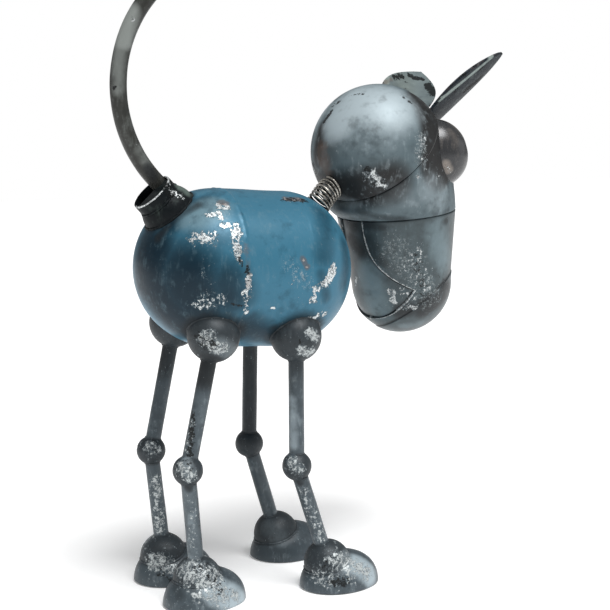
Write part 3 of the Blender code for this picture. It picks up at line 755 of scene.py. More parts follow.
BODY_PAINT = worn_paint("body paint", "3a7189", "01202e", "6a8894", 1, scuffs=0.2, bright="dfe5e6",
                        shine=0.3)
HEAD_PAINT = worn_paint("head paint", "56666c", "131415", "a9b7bd", 11, scuffs=0.45, gloss=0.54)
MUZZLE_PAINT = worn_paint("muzzle paint", "424e52", "1f2427", "74888f", 16, scuffs=0.8, silver=0.75,
                          shine=0.45)
EAR_PAINT = worn_paint("ear paint", "3f4c58", "131c24", "8c9895", 21, scuffs=0.5, gloss=0.55, shine=0.15)
LEG_PAINT = worn_paint("leg paint", "454f55", "1c2329", "a3b1b8", 31, scuffs=0.7, bright="cfd5d5",
                       silver=0.8, chips=2.7, shine=0.4)
TAIL_PAINT = worn_paint("tail rod paint", "323330", "1d1e1d", "878c89", 41, scuffs=0.4, shine=0.35)
FITTING_PAINT = worn_paint("tail fitting paint", "0d1316", "07090b", "5a6762", 51, scuffs=0.2, gloss=0.50,
                           shine=0.15)
SPRING_STEEL = bare_steel("spring steel", "d2cdc3", "4c4a46", 61)
EYE_STEEL = bare_steel("eye gun metal", "77736d", "4a4744", 71, gloss=0.28)
LID_PAINT = worn_paint("eyelid paint", "37383a", "1d1e1f", "857d76", 81, scuffs=0.5, gloss=0.26, silver=0.8)


# Body


def body_skin():
    """A profile turned about the body's axis: half ellipse, straight barrel, half ellipse. A low weld ridge,
    exp(-(distance / width)^2), stands at each end of the barrel, and the sheet is very slightly uneven."""
    by_weld = np.arange(0.0, WELD_REACH, WELD_STEP)
    polar = np.linspace(math.acos(WELD_REACH / REAR_DOME_DEPTH), 0, 64)
    rear = np.concatenate([by_weld, REAR_DOME_DEPTH * np.cos(polar)])
    polar = np.linspace(math.acos(WELD_REACH / FRONT_DOME_DEPTH), 0, 60)
    front = np.concatenate([by_weld, FRONT_DOME_DEPTH * np.cos(polar)])
    half = np.concatenate([HALF_BARREL - by_weld, np.linspace(HALF_BARREL - WELD_REACH, 0, 14)])
    height = np.concatenate([-HALF_BARREL - rear[::-1], -half[1:], half[::-1][1:-1], HALF_BARREL + front])
    depth = np.where(height > 0, FRONT_DOME_DEPTH, REAR_DOME_DEPTH)
    beyond = np.maximum(0, np.abs(height) - HALF_BARREL) / depth
    radius = BODY_RADIUS * np.sqrt(np.maximum(0, 1 - beyond**2))
    points = spun(radius, height, 330)
    along = points[..., 2]
    ridge = near(np.abs(along) - HALF_BARREL, WELD_WIDTH) * np.where(along > 0, 0.2, 1)
    swell = ridge * (0.45 + 0.25 * unevenness(points, 7.0, 3)) + 0.22 * unevenness(points, 45.0, 4)
    out = unit(points * [1, 1, 0] + 1e-9)
    points = points + out * (swell * np.minimum(1, radius[:, None] / 12))[..., None]
    return stand(points, BODY_MIDDLE, BODY_AXIS)


def hip_middle(end, hand):
    return on_body(HIPS[end][0], SIDES[hand] * HIPS[end][1], HIP_STANDS_OUT)


def body_grime_and_shade(points, values):
    """Soot and painted shade in the creases round the hips, the tail ball and the spring's foot."""
    for end in HIPS:
        for hand in SIDES:
            raised(values, "soot", 0.8 * near(off_ball(points, hip_middle(end, hand), HIP_RADIUS), 8))
    raised(values, "soot", 0.75 * near(off_ball(points, TAIL_BALL_MIDDLE, TAIL_BALL_RADIUS), 3.5),
           0.6 * near(off_ball(points, neck_foot()[0], SPRING_RADIUS), 3))


body_fields = wear_and_light_fields(BODY_MARKS, BODY_MIDDLE, LEFT, body_grime_and_shade)
body_nodes = ["body_barrel", "body_front_dome", "body_rear_dome"]
piece("body_shell", [body_skin()], BODY_PAINT, body_nodes, body_fields)


# Legs


def rod_skin(low, low_ball, high, high_ball):
    """A straight round bar between two ball middles, reaching just inside both balls."""
    way = unit(high - low)
    start, end = low + way * (low_ball - ROD_SINKS), high - way * (high_ball - ROD_SINKS)
    path = start + np.linspace(0, 1, 60)[:, None] * (end - start)
    return carried(path, np.array([1.0, 0.2, 0.1]), ROD_RADIUS + 0.06 * unevenness(path, 20.0, 5), 40)


def collar(ball_middle, ball_radius, towards, radius, seed, size=0.75):
    """A thin run of weld where a bar goes into a ball: the circle at which the two meet."""
    way = unit(towards - ball_middle)
    height = math.sqrt(ball_radius**2 - radius**2)
    line = stand(hoop(radius, height, 90), ball_middle, way)
    return bead(line, unit(line - ball_middle - way * height), size, seed)


def foot_skin(middle):
    """Half an egg: a quarter ellipse, a little filled out, turned about Z, stretched along X and narrowed
    towards the front, with its bottom edge rounded and its sole flat on the floor."""
    polar = np.linspace(0, math.pi / 2, 50)
    radius, height = np.sin(polar) ** FOOT_FULLNESS, FOOT_HEIGHT * np.abs(np.cos(polar)) ** FOOT_FULLNESS
    radius = radius - rounded_rim(height, FOOT_RIM) / FOOT_HALF_LENGTH
    radius, height = np.append(radius, 0), np.append(height, 0)
    half_length, half_width = FOOT_HALF_LENGTH - FOOT_TRIM[0], FOOT_HALF_WIDTH - FOOT_TRIM[1]
    points = spun(radius, height, 110) * [half_length, half_width, 1]
    points[..., 1] *= 1 - FOOT_TAPER * points[..., 0] / FOOT_HALF_LENGTH
    return points + middle


def above_foot(middle):
    """How far points are off the half egg of a foot, roughly."""

    def off_skin(points):
        p = (points - middle) / [FOOT_HALF_LENGTH, FOOT_HALF_WIDTH, FOOT_HEIGHT]
        p[..., 1] /= 1 - FOOT_TAPER * p[..., 0]
        power = 2 / FOOT_FULLNESS
        level = np.hypot(p[..., 0], p[..., 1]) ** power + np.abs(p[..., 2]) ** power
        return (np.sqrt(level) - 1) * FOOT_HEIGHT

    return off_skin


def off_line(points, start, end):
    """Distance from the straight line through two places."""
    way = unit(end - start)
    offset = points - start
    return np.linalg.norm(offset - (offset @ way)[:, None] * way, axis=1)


def leg(end, hand, seed):
    """The skins of one leg and its weld beads. The far front leg is darker and less worn."""
    side = SIDES[hand]
    name = f"{end}_{hand}"
    hip = hip_middle(end, hand)
    knee, ankle = (np.array([x, side * y, z]) for x, y, z in (KNEES[end], ANKLES[end]))
    toe = np.array([ankle[0] + FOOT_FORWARD[name], ankle[1], 0])
    gloom = 1.0 if name == "front_left" else 0.0

    def leg_grime_and_shade(points, values):
        """Soot and painted shade in the creases between the balls, the rods and the foot, painted shade close
        under the body and on the thighs' tops, and more bare steel lower down.
        """
        height = points[:, 2]
        crease = 0.6 * near(above_foot(toe)(points), 2.2) * near(off_ball(points, ankle, ANKLE_RADIUS), 3.0)
        for middle, radius in ((hip, HIP_RADIUS), (knee, KNEE_RADIUS), (ankle, ANKLE_RADIUS)):
            thin = np.minimum(1, off_line(points, knee, hip if middle is hip else ankle) / ROD_RADIUS)
            seam = 0.7 * near(off_ball(points, middle, radius), 1.6) * near(thin - 1, 0.3)
            crease = np.maximum(crease, seam)
        # Painted shade on the legs close under the body and on the tops of the thighs
        under = near(above_body(points), 5.0) * (height > 190)
        thigh_top_shade = 0.6 * np.clip((height - 150) / 45, 0, 1) * (height < 200)
        raised(values, "soot", crease, 0.7 * under, thigh_top_shade)
        lower = np.where(height < 60, 0.22, np.where(height < 122, 0.18, 0.1))
        values["bare"] = values["bare"] + lower - gloom * 0.2
        values["dark"] = values["dark"] + 0.04
        values["deep"] = values["deep"] + gloom * 0.25

    leg_fields = wear_and_light_fields(LEG_MARKS, BODY_MIDDLE, LEFT, leg_grime_and_shade)

    def part(which, sheets):
        piece(f"{name}_{which}_skin", sheets, LEG_PAINT, [f"{name}_{which}"], leg_fields)

    part("hip_ball", [ball(hip, HIP_RADIUS, seed=seed)])
    part("knee_ball", [ball(knee, KNEE_RADIUS, 48, 72, seed=seed + 1)])
    part("ankle_ball", [ball(ankle, ANKLE_RADIUS, seed=seed + 2)])
    part("foot", [foot_skin(toe)])
    part("thigh", [rod_skin(knee, KNEE_RADIUS, hip, HIP_RADIUS)])
    part("shin", [rod_skin(ankle, ANKLE_RADIUS, knee, KNEE_RADIUS)])
    inward = BODY_MIDDLE + (hip - BODY_MIDDLE) @ BODY_AXIS * BODY_AXIS - hip
    body_line, body_out = meeting_line(hip, HIP_RADIUS, inward, above_body)
    foot_line, foot_out = meeting_line(ankle, ANKLE_RADIUS, (0, 0, -1), above_foot(toe))
    welds = [
        bead(body_line, body_out, 0.8, seed + 3),
        bead(foot_line, foot_out, 0.9, seed + 4),
        collar(hip, HIP_RADIUS, knee, ROD_RADIUS, seed + 5),
        collar(knee, KNEE_RADIUS, hip, ROD_RADIUS, seed + 6, 0.55),
        collar(knee, KNEE_RADIUS, ankle, ROD_RADIUS, seed + 7, 0.55),
        collar(ankle, ANKLE_RADIUS, knee, ROD_RADIUS, seed + 8),
    ]
    piece(f"{name}_welds", welds, LEG_PAINT, [], leg_fields)


for number, (end, hand) in enumerate((e, h) for e in HIPS for h in SIDES):
    leg(end, hand, 100 + 20 * number)


# Tail


def tail_path(start, end, count):
    """The middle line of the tail rod: a circle in a plane beside the body's middle, by degrees round it."""
    angles = np.radians(np.linspace(start, end, count))
    arc_points = np.stack([np.cos(angles), 0 * angles, np.sin(angles)], 1)
    return TAIL_BALL_MIDDLE + TAIL_ARC_FROM_BALL + TAIL_ARC_RADIUS * arc_points


def ring_skin():
    """A pipe ring: a rectangle with rounded corners, |x|^6.7 + |y|^6.7 = 1, turned about the tail's axis."""
    angle = np.linspace(0, 2 * math.pi, 33)
    across = np.sign(np.cos(angle)) * np.abs(np.cos(angle)) ** 0.3 * RING_WALL / 2
    along = np.sign(np.sin(angle)) * np.abs(np.sin(angle)) ** 0.3 * (RING_TO - RING_FROM) / 2
    points = spun(RING_RADIUS - RING_WALL / 2 + across, (RING_FROM + RING_TO) / 2 + along, 120)
    return stand(points, TAIL_BALL_MIDDLE, TAIL_AXIS)


def plug_skin():
    """A plug with one flat side, (r cos a, min(r sin a, flat)), its rims bevelled by a quarter circle."""
    low, high, lip = RING_FROM, RING_TO - PLUG_RECESS, PLUG_BEVEL
    angle = np.linspace(0, 2 * math.pi, 181)
    turn = np.linspace(0, math.pi / 2, 7)
    rise, fall = lip * np.sin(turn), lip * np.cos(turn)
    inset = np.concatenate([[15.0], lip - rise, lip - fall, np.linspace(1.5, 15.6, 12)])
    height = np.concatenate([[low], low + lip - fall, high - lip + rise, np.full(12, high)])
    radius = (RING_RADIUS - RING_WALL - GAP - inset)[:, None]
    y = np.minimum(radius * np.sin(angle), PLUG_FLAT - np.minimum(inset, PLUG_FLAT)[:, None])
    points = np.stack([radius * np.cos(angle), y, height[:, None] + 0 * angle], axis=-1)
    return stand(points, TAIL_BALL_MIDDLE, TAIL_AXIS)


def tail_ball_skin():
    """The ball under the ring: a sphere about the tail's axis, cut flat where the ring stands."""
    flat = math.acos((RING_FROM - GAP) / TAIL_BALL_RADIUS)
    polar = np.append(np.linspace(math.pi, flat, 60), 0)
    radius = TAIL_BALL_RADIUS * np.sin(polar)
    height = np.minimum(TAIL_BALL_RADIUS * np.cos(polar), RING_FROM - GAP)
    return stand(spun(radius, height, 100), TAIL_BALL_MIDDLE, TAIL_AXIS)


def tail_grime_and_shade(points, values):
    """Soot and painted shade in the crease where the ball sits in the body."""
    height = (points - TAIL_BALL_MIDDLE) @ TAIL_AXIS
    low = near(above_body(points), 4.0) * (height < RING_FROM)
    raised(values, "soot", 0.6 * low)


def ring_lip_highlight(points, values):
    """A painted highlight: bare steel along the ring's outer lip."""
    height = (points - TAIL_BALL_MIDDLE) @ TAIL_AXIS
    out = np.linalg.norm(points - TAIL_BALL_MIDDLE - height[:, None] * TAIL_AXIS, axis=1)
    lip = (height > RING_TO - 0.8) & (out > RING_RADIUS - RING_WALL - 0.1) & (out < RING_RADIUS + 0.5)
    # Painted highlight, only on the dog's right, nearer side
    raised(values, "bare", 1.1 * lip * (points[:, 1] < 4))


tail_fields = wear_and_light_fields(TAIL_MARKS, BODY_MIDDLE, LEFT, tail_grime_and_shade)
ring_fields = wear_and_light_fields(TAIL_MARKS, BODY_MIDDLE, LEFT, ring_lip_highlight)
inward = BODY_MIDDLE - TAIL_BALL_MIDDLE
crease_line, crease_out = meeting_line(TAIL_BALL_MIDDLE, TAIL_BALL_RADIUS, inward, above_body)
piece("tail_ball_skin", [tail_ball_skin()], FITTING_PAINT, ["tail_ball"], tail_fields)
piece("tail_ring_skin", [ring_skin()], FITTING_PAINT, ["tail_ring"], ring_fields)
piece("tail_plug_skin", [plug_skin()], FITTING_PAINT, ["tail_plug"], tail_fields)
ring_line = stand(hoop(RING_RADIUS, RING_FROM, 120), TAIL_BALL_MIDDLE, TAIL_AXIS)
ring_out = unit(ring_line - TAIL_BALL_MIDDLE - RING_FROM * TAIL_AXIS)
tail_welds = [bead(crease_line, crease_out, 1.2, 310), bead(ring_line, ring_out, 1.0, 311)]
piece("tail_welds", tail_welds, FITTING_PAINT, [], tail_fields)
tail_line = tail_path(TAIL_ARC_FROM, TAIL_ARC_TO, 150)
tail_radius = TAIL_ROD_RADIUS - TAIL_ROD_TRIM + 0.05 * unevenness(tail_line, 25.0, 8)
tail_bar = carried(tail_line, LEFT, tail_radius, 40)
piece("tail_bar", [tail_bar], TAIL_PAINT, ["tail_rod"], tail_fields)


# Neck


def spring_line(count):
    """A coil turning evenly round a cubic middle line that leaves the chest and meets the skull squarely."""

    def seat(radius):
        return SPRING_WIRE + GAP - (radius - math.sqrt(radius**2 - SPRING_RADIUS**2))

    foot, start_way = neck_foot()
    end_way = unit(NECK_INTO_SKULL)
    start, end = foot + seat(BODY_RADIUS) * start_way, NECK_TOP - seat(SKULL_RADIUS) * end_way
    reach = np.linalg.norm(end - start)
    t = np.linspace(0, 1, count)[:, None]
    middle = (1 + 2 * t) * (1 - t) ** 2 * start + t * t * (3 - 2 * t) * end
    middle = middle + reach * (t * (1 - t) ** 2 * start_way - t * t * (1 - t) * end_way)
    way = unit((1 - t) * start_way + t * end_way)
    up = unit(np.cross(way, LEFT))
    turn = 2 * math.pi * SPRING_TURNS * t
    return middle + SPRING_RADIUS * (np.cos(turn) * up + np.sin(turn) * np.cross(up, way)), middle


def spring_shade_and_rust(points, values):
    """Painted shade on the wire's inner side, and rust at both ends."""
    middle = coil_middle[::8]
    away = np.linalg.norm(points[:, None] - middle, axis=-1).min(axis=1)
    # Painted shade: darker where the wire faces the coil's middle
    values["soot"] = np.clip((SPRING_RADIUS + 0.3 - away) / 0.6, 0, 1)
    ends = near(off_ball(points, neck_foot()[0], 0), 6) + near(off_ball(points, NECK_TOP, 0), 6)
    raised(values, "rust", 0.7 * ends)


spring_fields = wear_and_light_fields({}, BODY_MIDDLE, LEFT, spring_shade_and_rust)
coil, coil_middle = spring_line(560)
piece("neck_coil", [carried(coil, coil - coil_middle, SPRING_WIRE, 12, 0.3)], SPRING_STEEL, ["neck_spring"],
      spring_fields)


# Head


def skull_skin():
    """Half a ball about the skull's slanting axis, its rim rounded over and closed flat behind."""
    polar = np.concatenate([np.linspace(0, 84, 70), np.linspace(84.4, 90, 16)]) * math.pi / 180
    radius, height = SKULL_RADIUS * np.sin(polar), SKULL_RADIUS * np.cos(polar)
    radius = radius - rounded_rim(height, SHELL_RIM)
    radius, height = np.append(radius, 0), np.append(height, 0) + GAP / 2
    points = spun(radius, height, 220)
    return to_world(stand(points, (0, 0, 0), -turned(SKULL_RIM_TILT)))


def band_skin():
    """Circles whose middle slides from the skull to the muzzle while their tilt and radius change, rounded
    over at both rims and closed to a point inside."""
    end = np.concatenate([np.linspace(0, 0.05, 14), [0.07]])
    t = np.concatenate([end, np.linspace(0.1, 0.9, 40), 1 - end[::-1]])
    start = GAP / 2 * turned(SKULL_RIM_TILT)
    tilt = np.radians(SKULL_RIM_TILT + (MUZZLE_TILT - SKULL_RIM_TILT) * t)[:, None, None]
    middle = (start + (MUZZLE_START - start) * t[:, None])[:, None]
    angle = np.linspace(0, 2 * math.pi, 221)[None, :, None]
    front = np.concatenate([np.cos(tilt), 0 * tilt, np.sin(tilt)], axis=-1)
    way = np.cos(angle) * front + np.sin(angle) * LEFT
    radius = SKULL_RADIUS + (MUZZLE_TOP_RADIUS - SKULL_RADIUS) * t + BAND_SWELL * t * (1 - t)
    points = middle + radius[:, None, None] * way
    length = np.linalg.norm(points[-1] - points[0], axis=-1)
    distance = np.minimum(t, 1 - t)[:, None] * length
    points = points - rounded_rim(distance, SHELL_RIM)[..., None] * way
    caps = [np.broadcast_to(m, (1, 221, 3)) for m in (middle[0], middle[-1])]
    return to_world(np.concatenate([caps[0], points, caps[1]]))


def muzzle_radius(along):
    return MUZZLE_TOP_RADIUS + (NOSE_RADIUS - MUZZLE_TOP_RADIUS) * along / MUZZLE_TAPER_LENGTH


def jaw_half_angle(s):
    """Half width of the jaw in degrees at a distance s below the muzzle's top: a spade, point down."""
    swell = (np.clip(s, 0, MUZZLE_TAPER_LENGTH) / MUZZLE_TAPER_LENGTH) ** 3.2
    x = np.clip((s - MUZZLE_TAPER_LENGTH) / JAW_CHIN, 0, 1)
    chin = JAW_WIDE_ANGLE * (np.sqrt(1 - x * x) - 0.08 * np.sin(math.pi * x))
    return np.where(s <= MUZZLE_TAPER_LENGTH, JAW_TOP_ANGLE + (JAW_WIDE_ANGLE - JAW_TOP_ANGLE) * swell, chin)


def on_muzzle(s, degrees, grow):
    """Points s along the muzzle and degrees round from the middle of its back: a taper, then a ball."""
    s, degrees, grow = np.broadcast_arrays(s, degrees, grow)
    angle = np.radians(degrees)[..., None]
    out = -np.cos(angle) * MUZZLE_FRONT + np.sin(angle) * LEFT
    on_taper, nose = s <= MUZZLE_TAPER_LENGTH, NOSE_RADIUS + grow
    sink = np.clip((s - MUZZLE_TAPER_LENGTH) / NOSE_RADIUS, 0, 1)
    deep = np.where(on_taper, s, MUZZLE_TAPER_LENGTH + nose * sink)
    wide = np.where(on_taper, muzzle_radius(s) + grow, nose * np.sqrt(1 - sink**2))
    return MUZZLE_START + deep[..., None] * MUZZLE_AXIS + wide[..., None] * out


def muzzle_rows(last, count):
    """Distances down the muzzle: close together at the top rim and towards the pole."""
    top = GAP + np.concatenate([np.arange(0, 1.6, 0.16), np.linspace(1.8, MUZZLE_TAPER_LENGTH - GAP, 70)])
    return np.concatenate([top, MUZZLE_TAPER_LENGTH + last * np.sin(np.linspace(0, math.pi / 2, count)[1:])])


def muzzle_skin():
    """The muzzle from one edge of the jaw round the front to the other, then down the pocket's wall. Its
    columns follow the jaw's outline, so that the edge is clean, and meet below the chin."""
    chin = muzzle_rows(JAW_CHIN, 26)
    polar = np.linspace(math.asin(JAW_CHIN / NOSE_RADIUS), math.pi / 2, 26)
    below = MUZZLE_TAPER_LENGTH + NOSE_RADIUS * np.sin(polar)
    s = np.concatenate([chin, below[1:]])[:, None]
    half = jaw_half_angle(s)
    half = np.where(s >= MUZZLE_TAPER_LENGTH + JAW_CHIN, 0, half)
    w = np.linspace(0, 1, 241)
    w = w - 0.2 * np.sin(4 * math.pi * w) / (4 * math.pi)
    angle = JAW_MIDDLE_ANGLE + half + (360 - 2 * half) * w
    edge = np.minimum(w, 1 - w) * (360 - 2 * half) * math.pi / 180 * NOSE_RADIUS
    drop = rounded_rim(s - GAP, SHELL_RIM) + np.where(half > 0.5, rounded_rim(edge, 0.6), 0)
    face = on_muzzle(s, angle, -drop)
    depth = np.where(half > 0.5, -JAW_THICKNESS - 2 * GAP, 0.0)
    wall = [on_muzzle(s, angle[:, :1], depth), on_muzzle(s, angle[:, -1:], depth)]
    floor = on_muzzle(s, JAW_MIDDLE_ANGLE + half * np.linspace(-1, 1, 31), depth)
    top = np.broadcast_to(MUZZLE_START + GAP * MUZZLE_AXIS, (1, 241, 3))
    main = np.concatenate([top, face])
    return [to_world(main), to_world(np.concatenate([wall[0], face[:, :1]], 1)),
            to_world(np.concatenate([face[:, -1:], wall[1]], 1)), to_world(floor)]


def jaw_skin():
    """The jaw plate: the spade's outline at two depths, its upper edge rounded over, closed at both ends."""
    s = muzzle_rows(JAW_CHIN - 0.6, 26)[4:, None]
    half = jaw_half_angle(s) - math.degrees(0.45 / NOSE_RADIUS)
    half = np.maximum(half, 0.05)
    b = np.sin(np.linspace(-1, 1, 61) * math.pi / 2)
    edge = (1 - np.abs(b)) * half * math.pi / 180 * NOSE_RADIUS
    edge = np.minimum(edge, np.minimum(s - s[0], s[-1] - s) * 2 + 0.01)
    over = on_muzzle(s, JAW_MIDDLE_ANGLE + half * b, -JAW_RECESS - rounded_rim(edge, 0.9))
    under = on_muzzle(s, JAW_MIDDLE_ANGLE + half * b[::-1], -JAW_THICKNESS)
    ring = np.concatenate([over, under, over[:, :1]], axis=1)
    ends = [np.broadcast_to(ring[i].mean(axis=0), (1, ring.shape[1], 3)) for i in (0, -1)]
    return to_world(np.concatenate([ends[0], ring, ends[1]]))


def nose_cap_skin():
    """The muzzle's end beyond a slanting plane: for each way off the nose's middle, the distance to the ball,
    or to the taper where the way points back up it. It stands a little proud, with a rounded rim."""
    axis = unit(NOSE_CAP_WAY)
    angle = np.linspace(0, 2 * math.pi, 181)
    slope = (MUZZLE_TOP_RADIUS - NOSE_RADIUS) / MUZZLE_TAPER_LENGTH

    def reach(polar):
        way = stand(ways_round(polar, angle), (0, 0, 0), axis)
        z = way @ MUZZLE_AXIS
        cone = NOSE_RADIUS / (np.sqrt(1 - z * z) + slope * np.minimum(z, 0))
        return np.where(z >= 0, NOSE_RADIUS, cone), way

    rim = np.full(181, 1.2)
    for _ in range(8):
        rim = np.arccos((NOSE_CAP_FROM + 0.35) / reach(rim)[0])
    t = np.concatenate([np.linspace(0, 0.95, 50), np.linspace(0.956, 1, 14)])[:, None]
    far, way = reach(rim * t)
    distance = (1 - t) * rim * NOSE_RADIUS
    face = way * (far + NOSE_CAP_PROUD - rounded_rim(distance, SHELL_RIM))[..., None]
    back = way[-1:] * (far[-1:] - 3.0)[..., None]
    closed = np.broadcast_to(back.mean(axis=1, keepdims=True), back.shape)
    return to_world(NOSE_MIDDLE + np.concatenate([face, back, closed]))


def ear_axes(root_way, along, across):
    """The root, the way to the tip, the way across and the way out of an ear's hollow face, in head axes."""
    along = unit(along)
    across = unit(np.asarray(across) - along * (along @ np.asarray(across)))
    root = (SKULL_RADIUS - 1) * unit(root_way) - EAR_ROOT_DEPTH * along
    return root, along, across, np.cross(along, across)


def ear_half_width(t):
    return EAR_WIDTH / 2 * np.maximum(0.06, np.abs(np.sin(math.pi * (0.2 + 0.8 * t))) ** EAR_FULLNESS)


def ear_skin(root_way, along, across, dish):
    """A leaf: its width by length is sin(pi (0.2 + 0.8 t))^0.65, its section a flat plate with half round
    edges, bent up as the square of the distance across."""
    root, along, across, out = ear_axes(root_way, along, across)
    tip = 0.9 + 0.1 * np.sin(np.linspace(0.05, math.pi / 2, 18))
    t = np.concatenate([np.linspace(0, 0.9, 70), tip])[:, None]
    half = ear_half_width(t)
    lip = np.minimum(EAR_THICKNESS / 2, 0.8 * half)
    flat, turn = np.linspace(-1, 1, 33), np.linspace(math.pi / 2, -math.pi / 2, 11)[1:-1]
    b = np.concatenate([(half - lip) * flat, half - lip + lip * np.cos(turn), (half - lip) * flat[::-1],
                        lip - half - lip * np.cos(turn), lip - half], axis=1)
    z = np.concatenate([0 * flat + 1, np.sin(turn), 0 * flat - 1, -np.sin(turn), [1]]) * EAR_THICKNESS / 2
    lift = dish * (b * 2 / EAR_WIDTH) ** 2 + EAR_THICKNESS / 2 + z
    length = EAR_LENGTH + EAR_ROOT_DEPTH
    points = root + length * t[..., None] * along + b[..., None] * across + lift[..., None] * out
    ends = [np.broadcast_to(points[i].mean(axis=0), (1, points.shape[1], 3)) for i in (0, -1)]
    return to_world(np.concatenate([ends[0], points, ends[1]]))


def lid_skin(side):
    """Half a thin shell round the back of an eye: an arc out, round the rim and back, turned the way
    that the eye looks."""
    outer = np.radians(np.linspace(180, LID_EDGE, 50))
    rim = np.linspace(0, math.pi, 9)[1:-1]
    edge, inner = math.radians(LID_EDGE), LID_RADIUS - LID_THICKNESS
    fold = LID_RADIUS - LID_THICKNESS / 2 + LID_THICKNESS / 2 * np.cos(rim)
    over = fold * math.cos(edge) + LID_THICKNESS / 2 * np.sin(rim)
    radius = np.concatenate([LID_RADIUS * np.sin(outer), fold * math.sin(edge), inner * np.sin(outer[::-1])])
    height = np.concatenate([LID_RADIUS * np.cos(outer), over, inner * np.cos(outer[::-1])])
    points = spun(radius, height, 120)
    return to_world(stand(points, EYE_MIDDLE * [1, side, 1], LID_OPENS_TO * [1, side, 1]))


def muzzle_wear_and_shade(points, values):
    """A rubbed bright edge round the mouth, and soot with painted shade in its groove, along the cap's rim
    and under the band.
    """
    head = from_world(points) - MUZZLE_START
    s = head @ MUZZLE_AXIS
    out = head - s[:, None] * MUZZLE_AXIS
    wide = np.linalg.norm(out, axis=1)
    degrees = np.degrees(np.arctan2(out @ LEFT, -(out @ MUZZLE_FRONT)))
    under_nose = NOSE_RADIUS - np.linalg.norm(head - MUZZLE_TAPER_LENGTH * MUZZLE_AXIS, axis=1)
    depth = np.where(s < MUZZLE_TAPER_LENGTH, muzzle_radius(s) - wide, under_nose)
    outside = np.radians(np.abs(degrees - JAW_MIDDLE_ANGLE) - jaw_half_angle(s)) * wide
    past_chin = s - MUZZLE_TAPER_LENGTH - JAW_CHIN
    outside = np.where(past_chin > -4, np.maximum(outside, past_chin), outside)
    on_shell = (depth < 0.9) & (outside > -0.3)
    rubbed = np.where(degrees < JAW_MIDDLE_ANGLE, 2.3, 0.6) * near(outside, 1.5)
    raised(values, "bare", np.where(on_shell, rubbed, 0))
    # Painted shadow and soot in the groove round the jaw, at the cap's rim and under the band
    groove = np.where(on_shell, 0, near(outside, 2.6))
    cap = (from_world(points) - NOSE_MIDDLE) @ unit(NOSE_CAP_WAY) - NOSE_CAP_FROM
    raised(values, "soot", 0.95 * groove, 0.8 * near(cap, 1.5), 0.5 * near(s, 3.0))


def ear_chips_and_shade(hand):
    root, along, across, out = ear_axes(*EARS[hand][:3])

    def more(points, values):
        """Chips along the rim; painted light and shade: the hollow face lighter than the back, and the right
        ear darker all over.
        """
        head = from_world(points) - root
        t = np.clip(head @ along / (EAR_LENGTH + EAR_ROOT_DEPTH), 0, 1)
        b = head @ across
        rim = ear_half_width(t) - np.abs(b)
        lift = head @ out - EARS[hand][3] * (b * 2 / EAR_WIDTH) ** 2
        raised(values, "dark", 0.62 - np.clip(rim, 0, 9) / 7)
        raised(values, "rust", 0.45 - np.clip(rim, 0, 9) / 12)
        hollow = lift > EAR_THICKNESS / 2
        # Painted light on the left ear's hollow face, painted shade on the backs and over the right ear
        values["pale"] = values["pale"] + (0.55 if hand == "left" else 0.0) * hollow
        values["deep"] = values["deep"] + np.where(hollow, 0.0, 0.3) + (0.5 if hand == "right" else 0.0)

    return more


def lid_rim_shadow(side):
    def more(points, values):
        """Painted shadow: a thin dark line just behind the shell's rim, where it meets the ball."""
        forward = (from_world(points) - EYE_MIDDLE * [1, side, 1]) @ unit(LID_OPENS_TO * [1, side, 1])
        raised(values, "soot", 0.9 * near(forward + 0.9, 0.8))

    return more


HEAD_LEFT = to_world(LEFT) - SKULL_MIDDLE
head_fields = wear_and_light_fields(HEAD_MARKS, SKULL_MIDDLE, HEAD_LEFT)
muzzle_fields = wear_and_light_fields(MUZZLE_MARKS, SKULL_MIDDLE, HEAD_LEFT, muzzle_wear_and_shade)
piece("skull_shell", [skull_skin()], HEAD_PAINT, ["skull"], head_fields)
piece("face_shell", [band_skin()], HEAD_PAINT, ["face_band"], head_fields)
piece("muzzle_skin", muzzle_skin(), MUZZLE_PAINT, ["muzzle_shell"], muzzle_fields)
piece("jaw_plate", [jaw_skin()], MUZZLE_PAINT, ["jaw"], muzzle_fields)
piece("nose_cap_skin", [nose_cap_skin()], MUZZLE_PAINT, ["nose_cap"], muzzle_fields)
for hand, side in SIDES.items():
    eye = ball(to_world(EYE_MIDDLE * [1, side, 1]), EYE_RADIUS, 72, 110, seed=400)
    eye_fields = wear_and_light_fields(EYE_MARKS, SKULL_MIDDLE, HEAD_LEFT, lid_rim_shadow(side))
    ear_fields = wear_and_light_fields(EAR_MARKS, SKULL_MIDDLE, HEAD_LEFT, ear_chips_and_shade(hand))
    piece(f"eye_{hand}_ball", [eye], EYE_STEEL, [f"eye_{hand}"], eye_fields)
    piece(f"eyelid_{hand}_shell", [lid_skin(side)], LID_PAINT, [f"eyelid_{hand}"], eye_fields)
    piece(f"ear_{hand}_plate", [ear_skin(*EARS[hand])], EAR_PAINT, [f"ear_{hand}"], ear_fields)


# Floor, light and camera


def floor_look():
    """Near white and matt, with a faint glow that keeps the shadow soft."""
    f = Finish("pale floor")
    cloud = f.noise(260, 900, 2)
    f.set(Base_Color=f.mix(cloud, colour("fcfcfc"), colour("fefefe")), Roughness=0.9, Specular_IOR_Level=0.1)
    f.set(Emission_Color=(1.0, 1.0, 1.0, 1.0), Emission_Strength=0.16)
    return f.material


def lay_floor():
    """A flat square grid under the feet, 8 m wide."""
    side = np.linspace(-4000, 4000, 9)
    x, y = np.meshgrid(side, side)
    mesh = bpy.data.meshes.new("floor")
    points = np.stack([x, y, 0 * x - GAP], -1).reshape(-1, 3) / MM
    mesh.from_pydata(points.tolist(), [], squares(9, 9).tolist())
    mesh.materials.append(floor_look())
    floor = bpy.data.objects.new("floor", mesh)
    bpy.context.scene.collection.objects.link(floor)


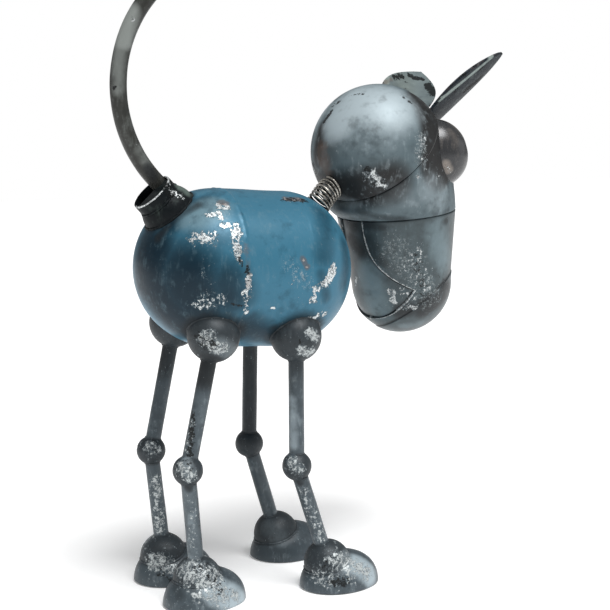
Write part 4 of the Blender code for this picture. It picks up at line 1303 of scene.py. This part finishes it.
def lamp(name, place, target, size, power):
    """A round soft box, or a wide soft sun when it has no size: then power is the sun's strength."""
    light = bpy.data.lights.new(name, "AREA" if size else "SUN")
    light.energy = power
    if size:
        light.shape, light.size = "DISK", size
    else:
        light.angle = math.radians(32)
    made = bpy.data.objects.new(name, light)
    made.location = place
    made.rotation_euler = (Vector(target) - Vector(place)).to_track_quat("-Z", "Y").to_euler()
    bpy.context.scene.collection.objects.link(made)


def light_and_camera():
    """A white backdrop that lights the dog only a quarter as brightly, a soft sun from the right and above,
    and two soft boxes."""
    world = bpy.data.worlds.new("studio")
    world.use_nodes = True
    tree = world.node_tree
    rays = tree.nodes.new("ShaderNodeLightPath")
    strength = tree.nodes.new("ShaderNodeMapRange")
    strength.inputs[3].default_value, strength.inputs[4].default_value = 0.26, 1.0
    tree.links.new(rays.outputs["Is Camera Ray"], strength.inputs[0])
    tree.links.new(strength.outputs[0], tree.nodes["Background"].inputs["Strength"])
    tree.nodes["Background"].inputs["Color"].default_value = (1.0, 1.0, 1.0, 1.0)
    bpy.context.scene.world = world
    target = (CAMERA_TARGET + SHIFT) / MM
    eye = CAMERA_EYE / MM
    back, right = CAMERA_BACK, CAMERA_RIGHT
    camera = bpy.data.cameras.new("camera")
    camera.sensor_width, camera.lens = CAMERA_SENSOR, CAMERA_LENS
    camera.clip_start, camera.clip_end = 0.05, 50
    made = bpy.data.objects.new("camera", camera)
    made.location = eye
    made.rotation_euler = (Vector(target) - Vector(eye)).to_track_quat("-Z", "Y").to_euler()
    bpy.context.scene.collection.objects.link(made)
    bpy.context.scene.camera = made
    up = np.array([0.0, 0.0, 1.0])
    lamp("key", target + 0.4 * right + 0.55 * back + 1.4 * up, target, 0, 3.1)
    lamp("rim", target + 1.3 * right - 0.2 * back + 0.4 * up, target, 0.7, 1)
    lamp("fill", target - 1.3 * right + 1.0 * back + 0.5 * up, target, 1.2, 1.5)
    bpy.context.scene.view_settings.view_transform = "Standard"


lay_floor()
light_and_camera()
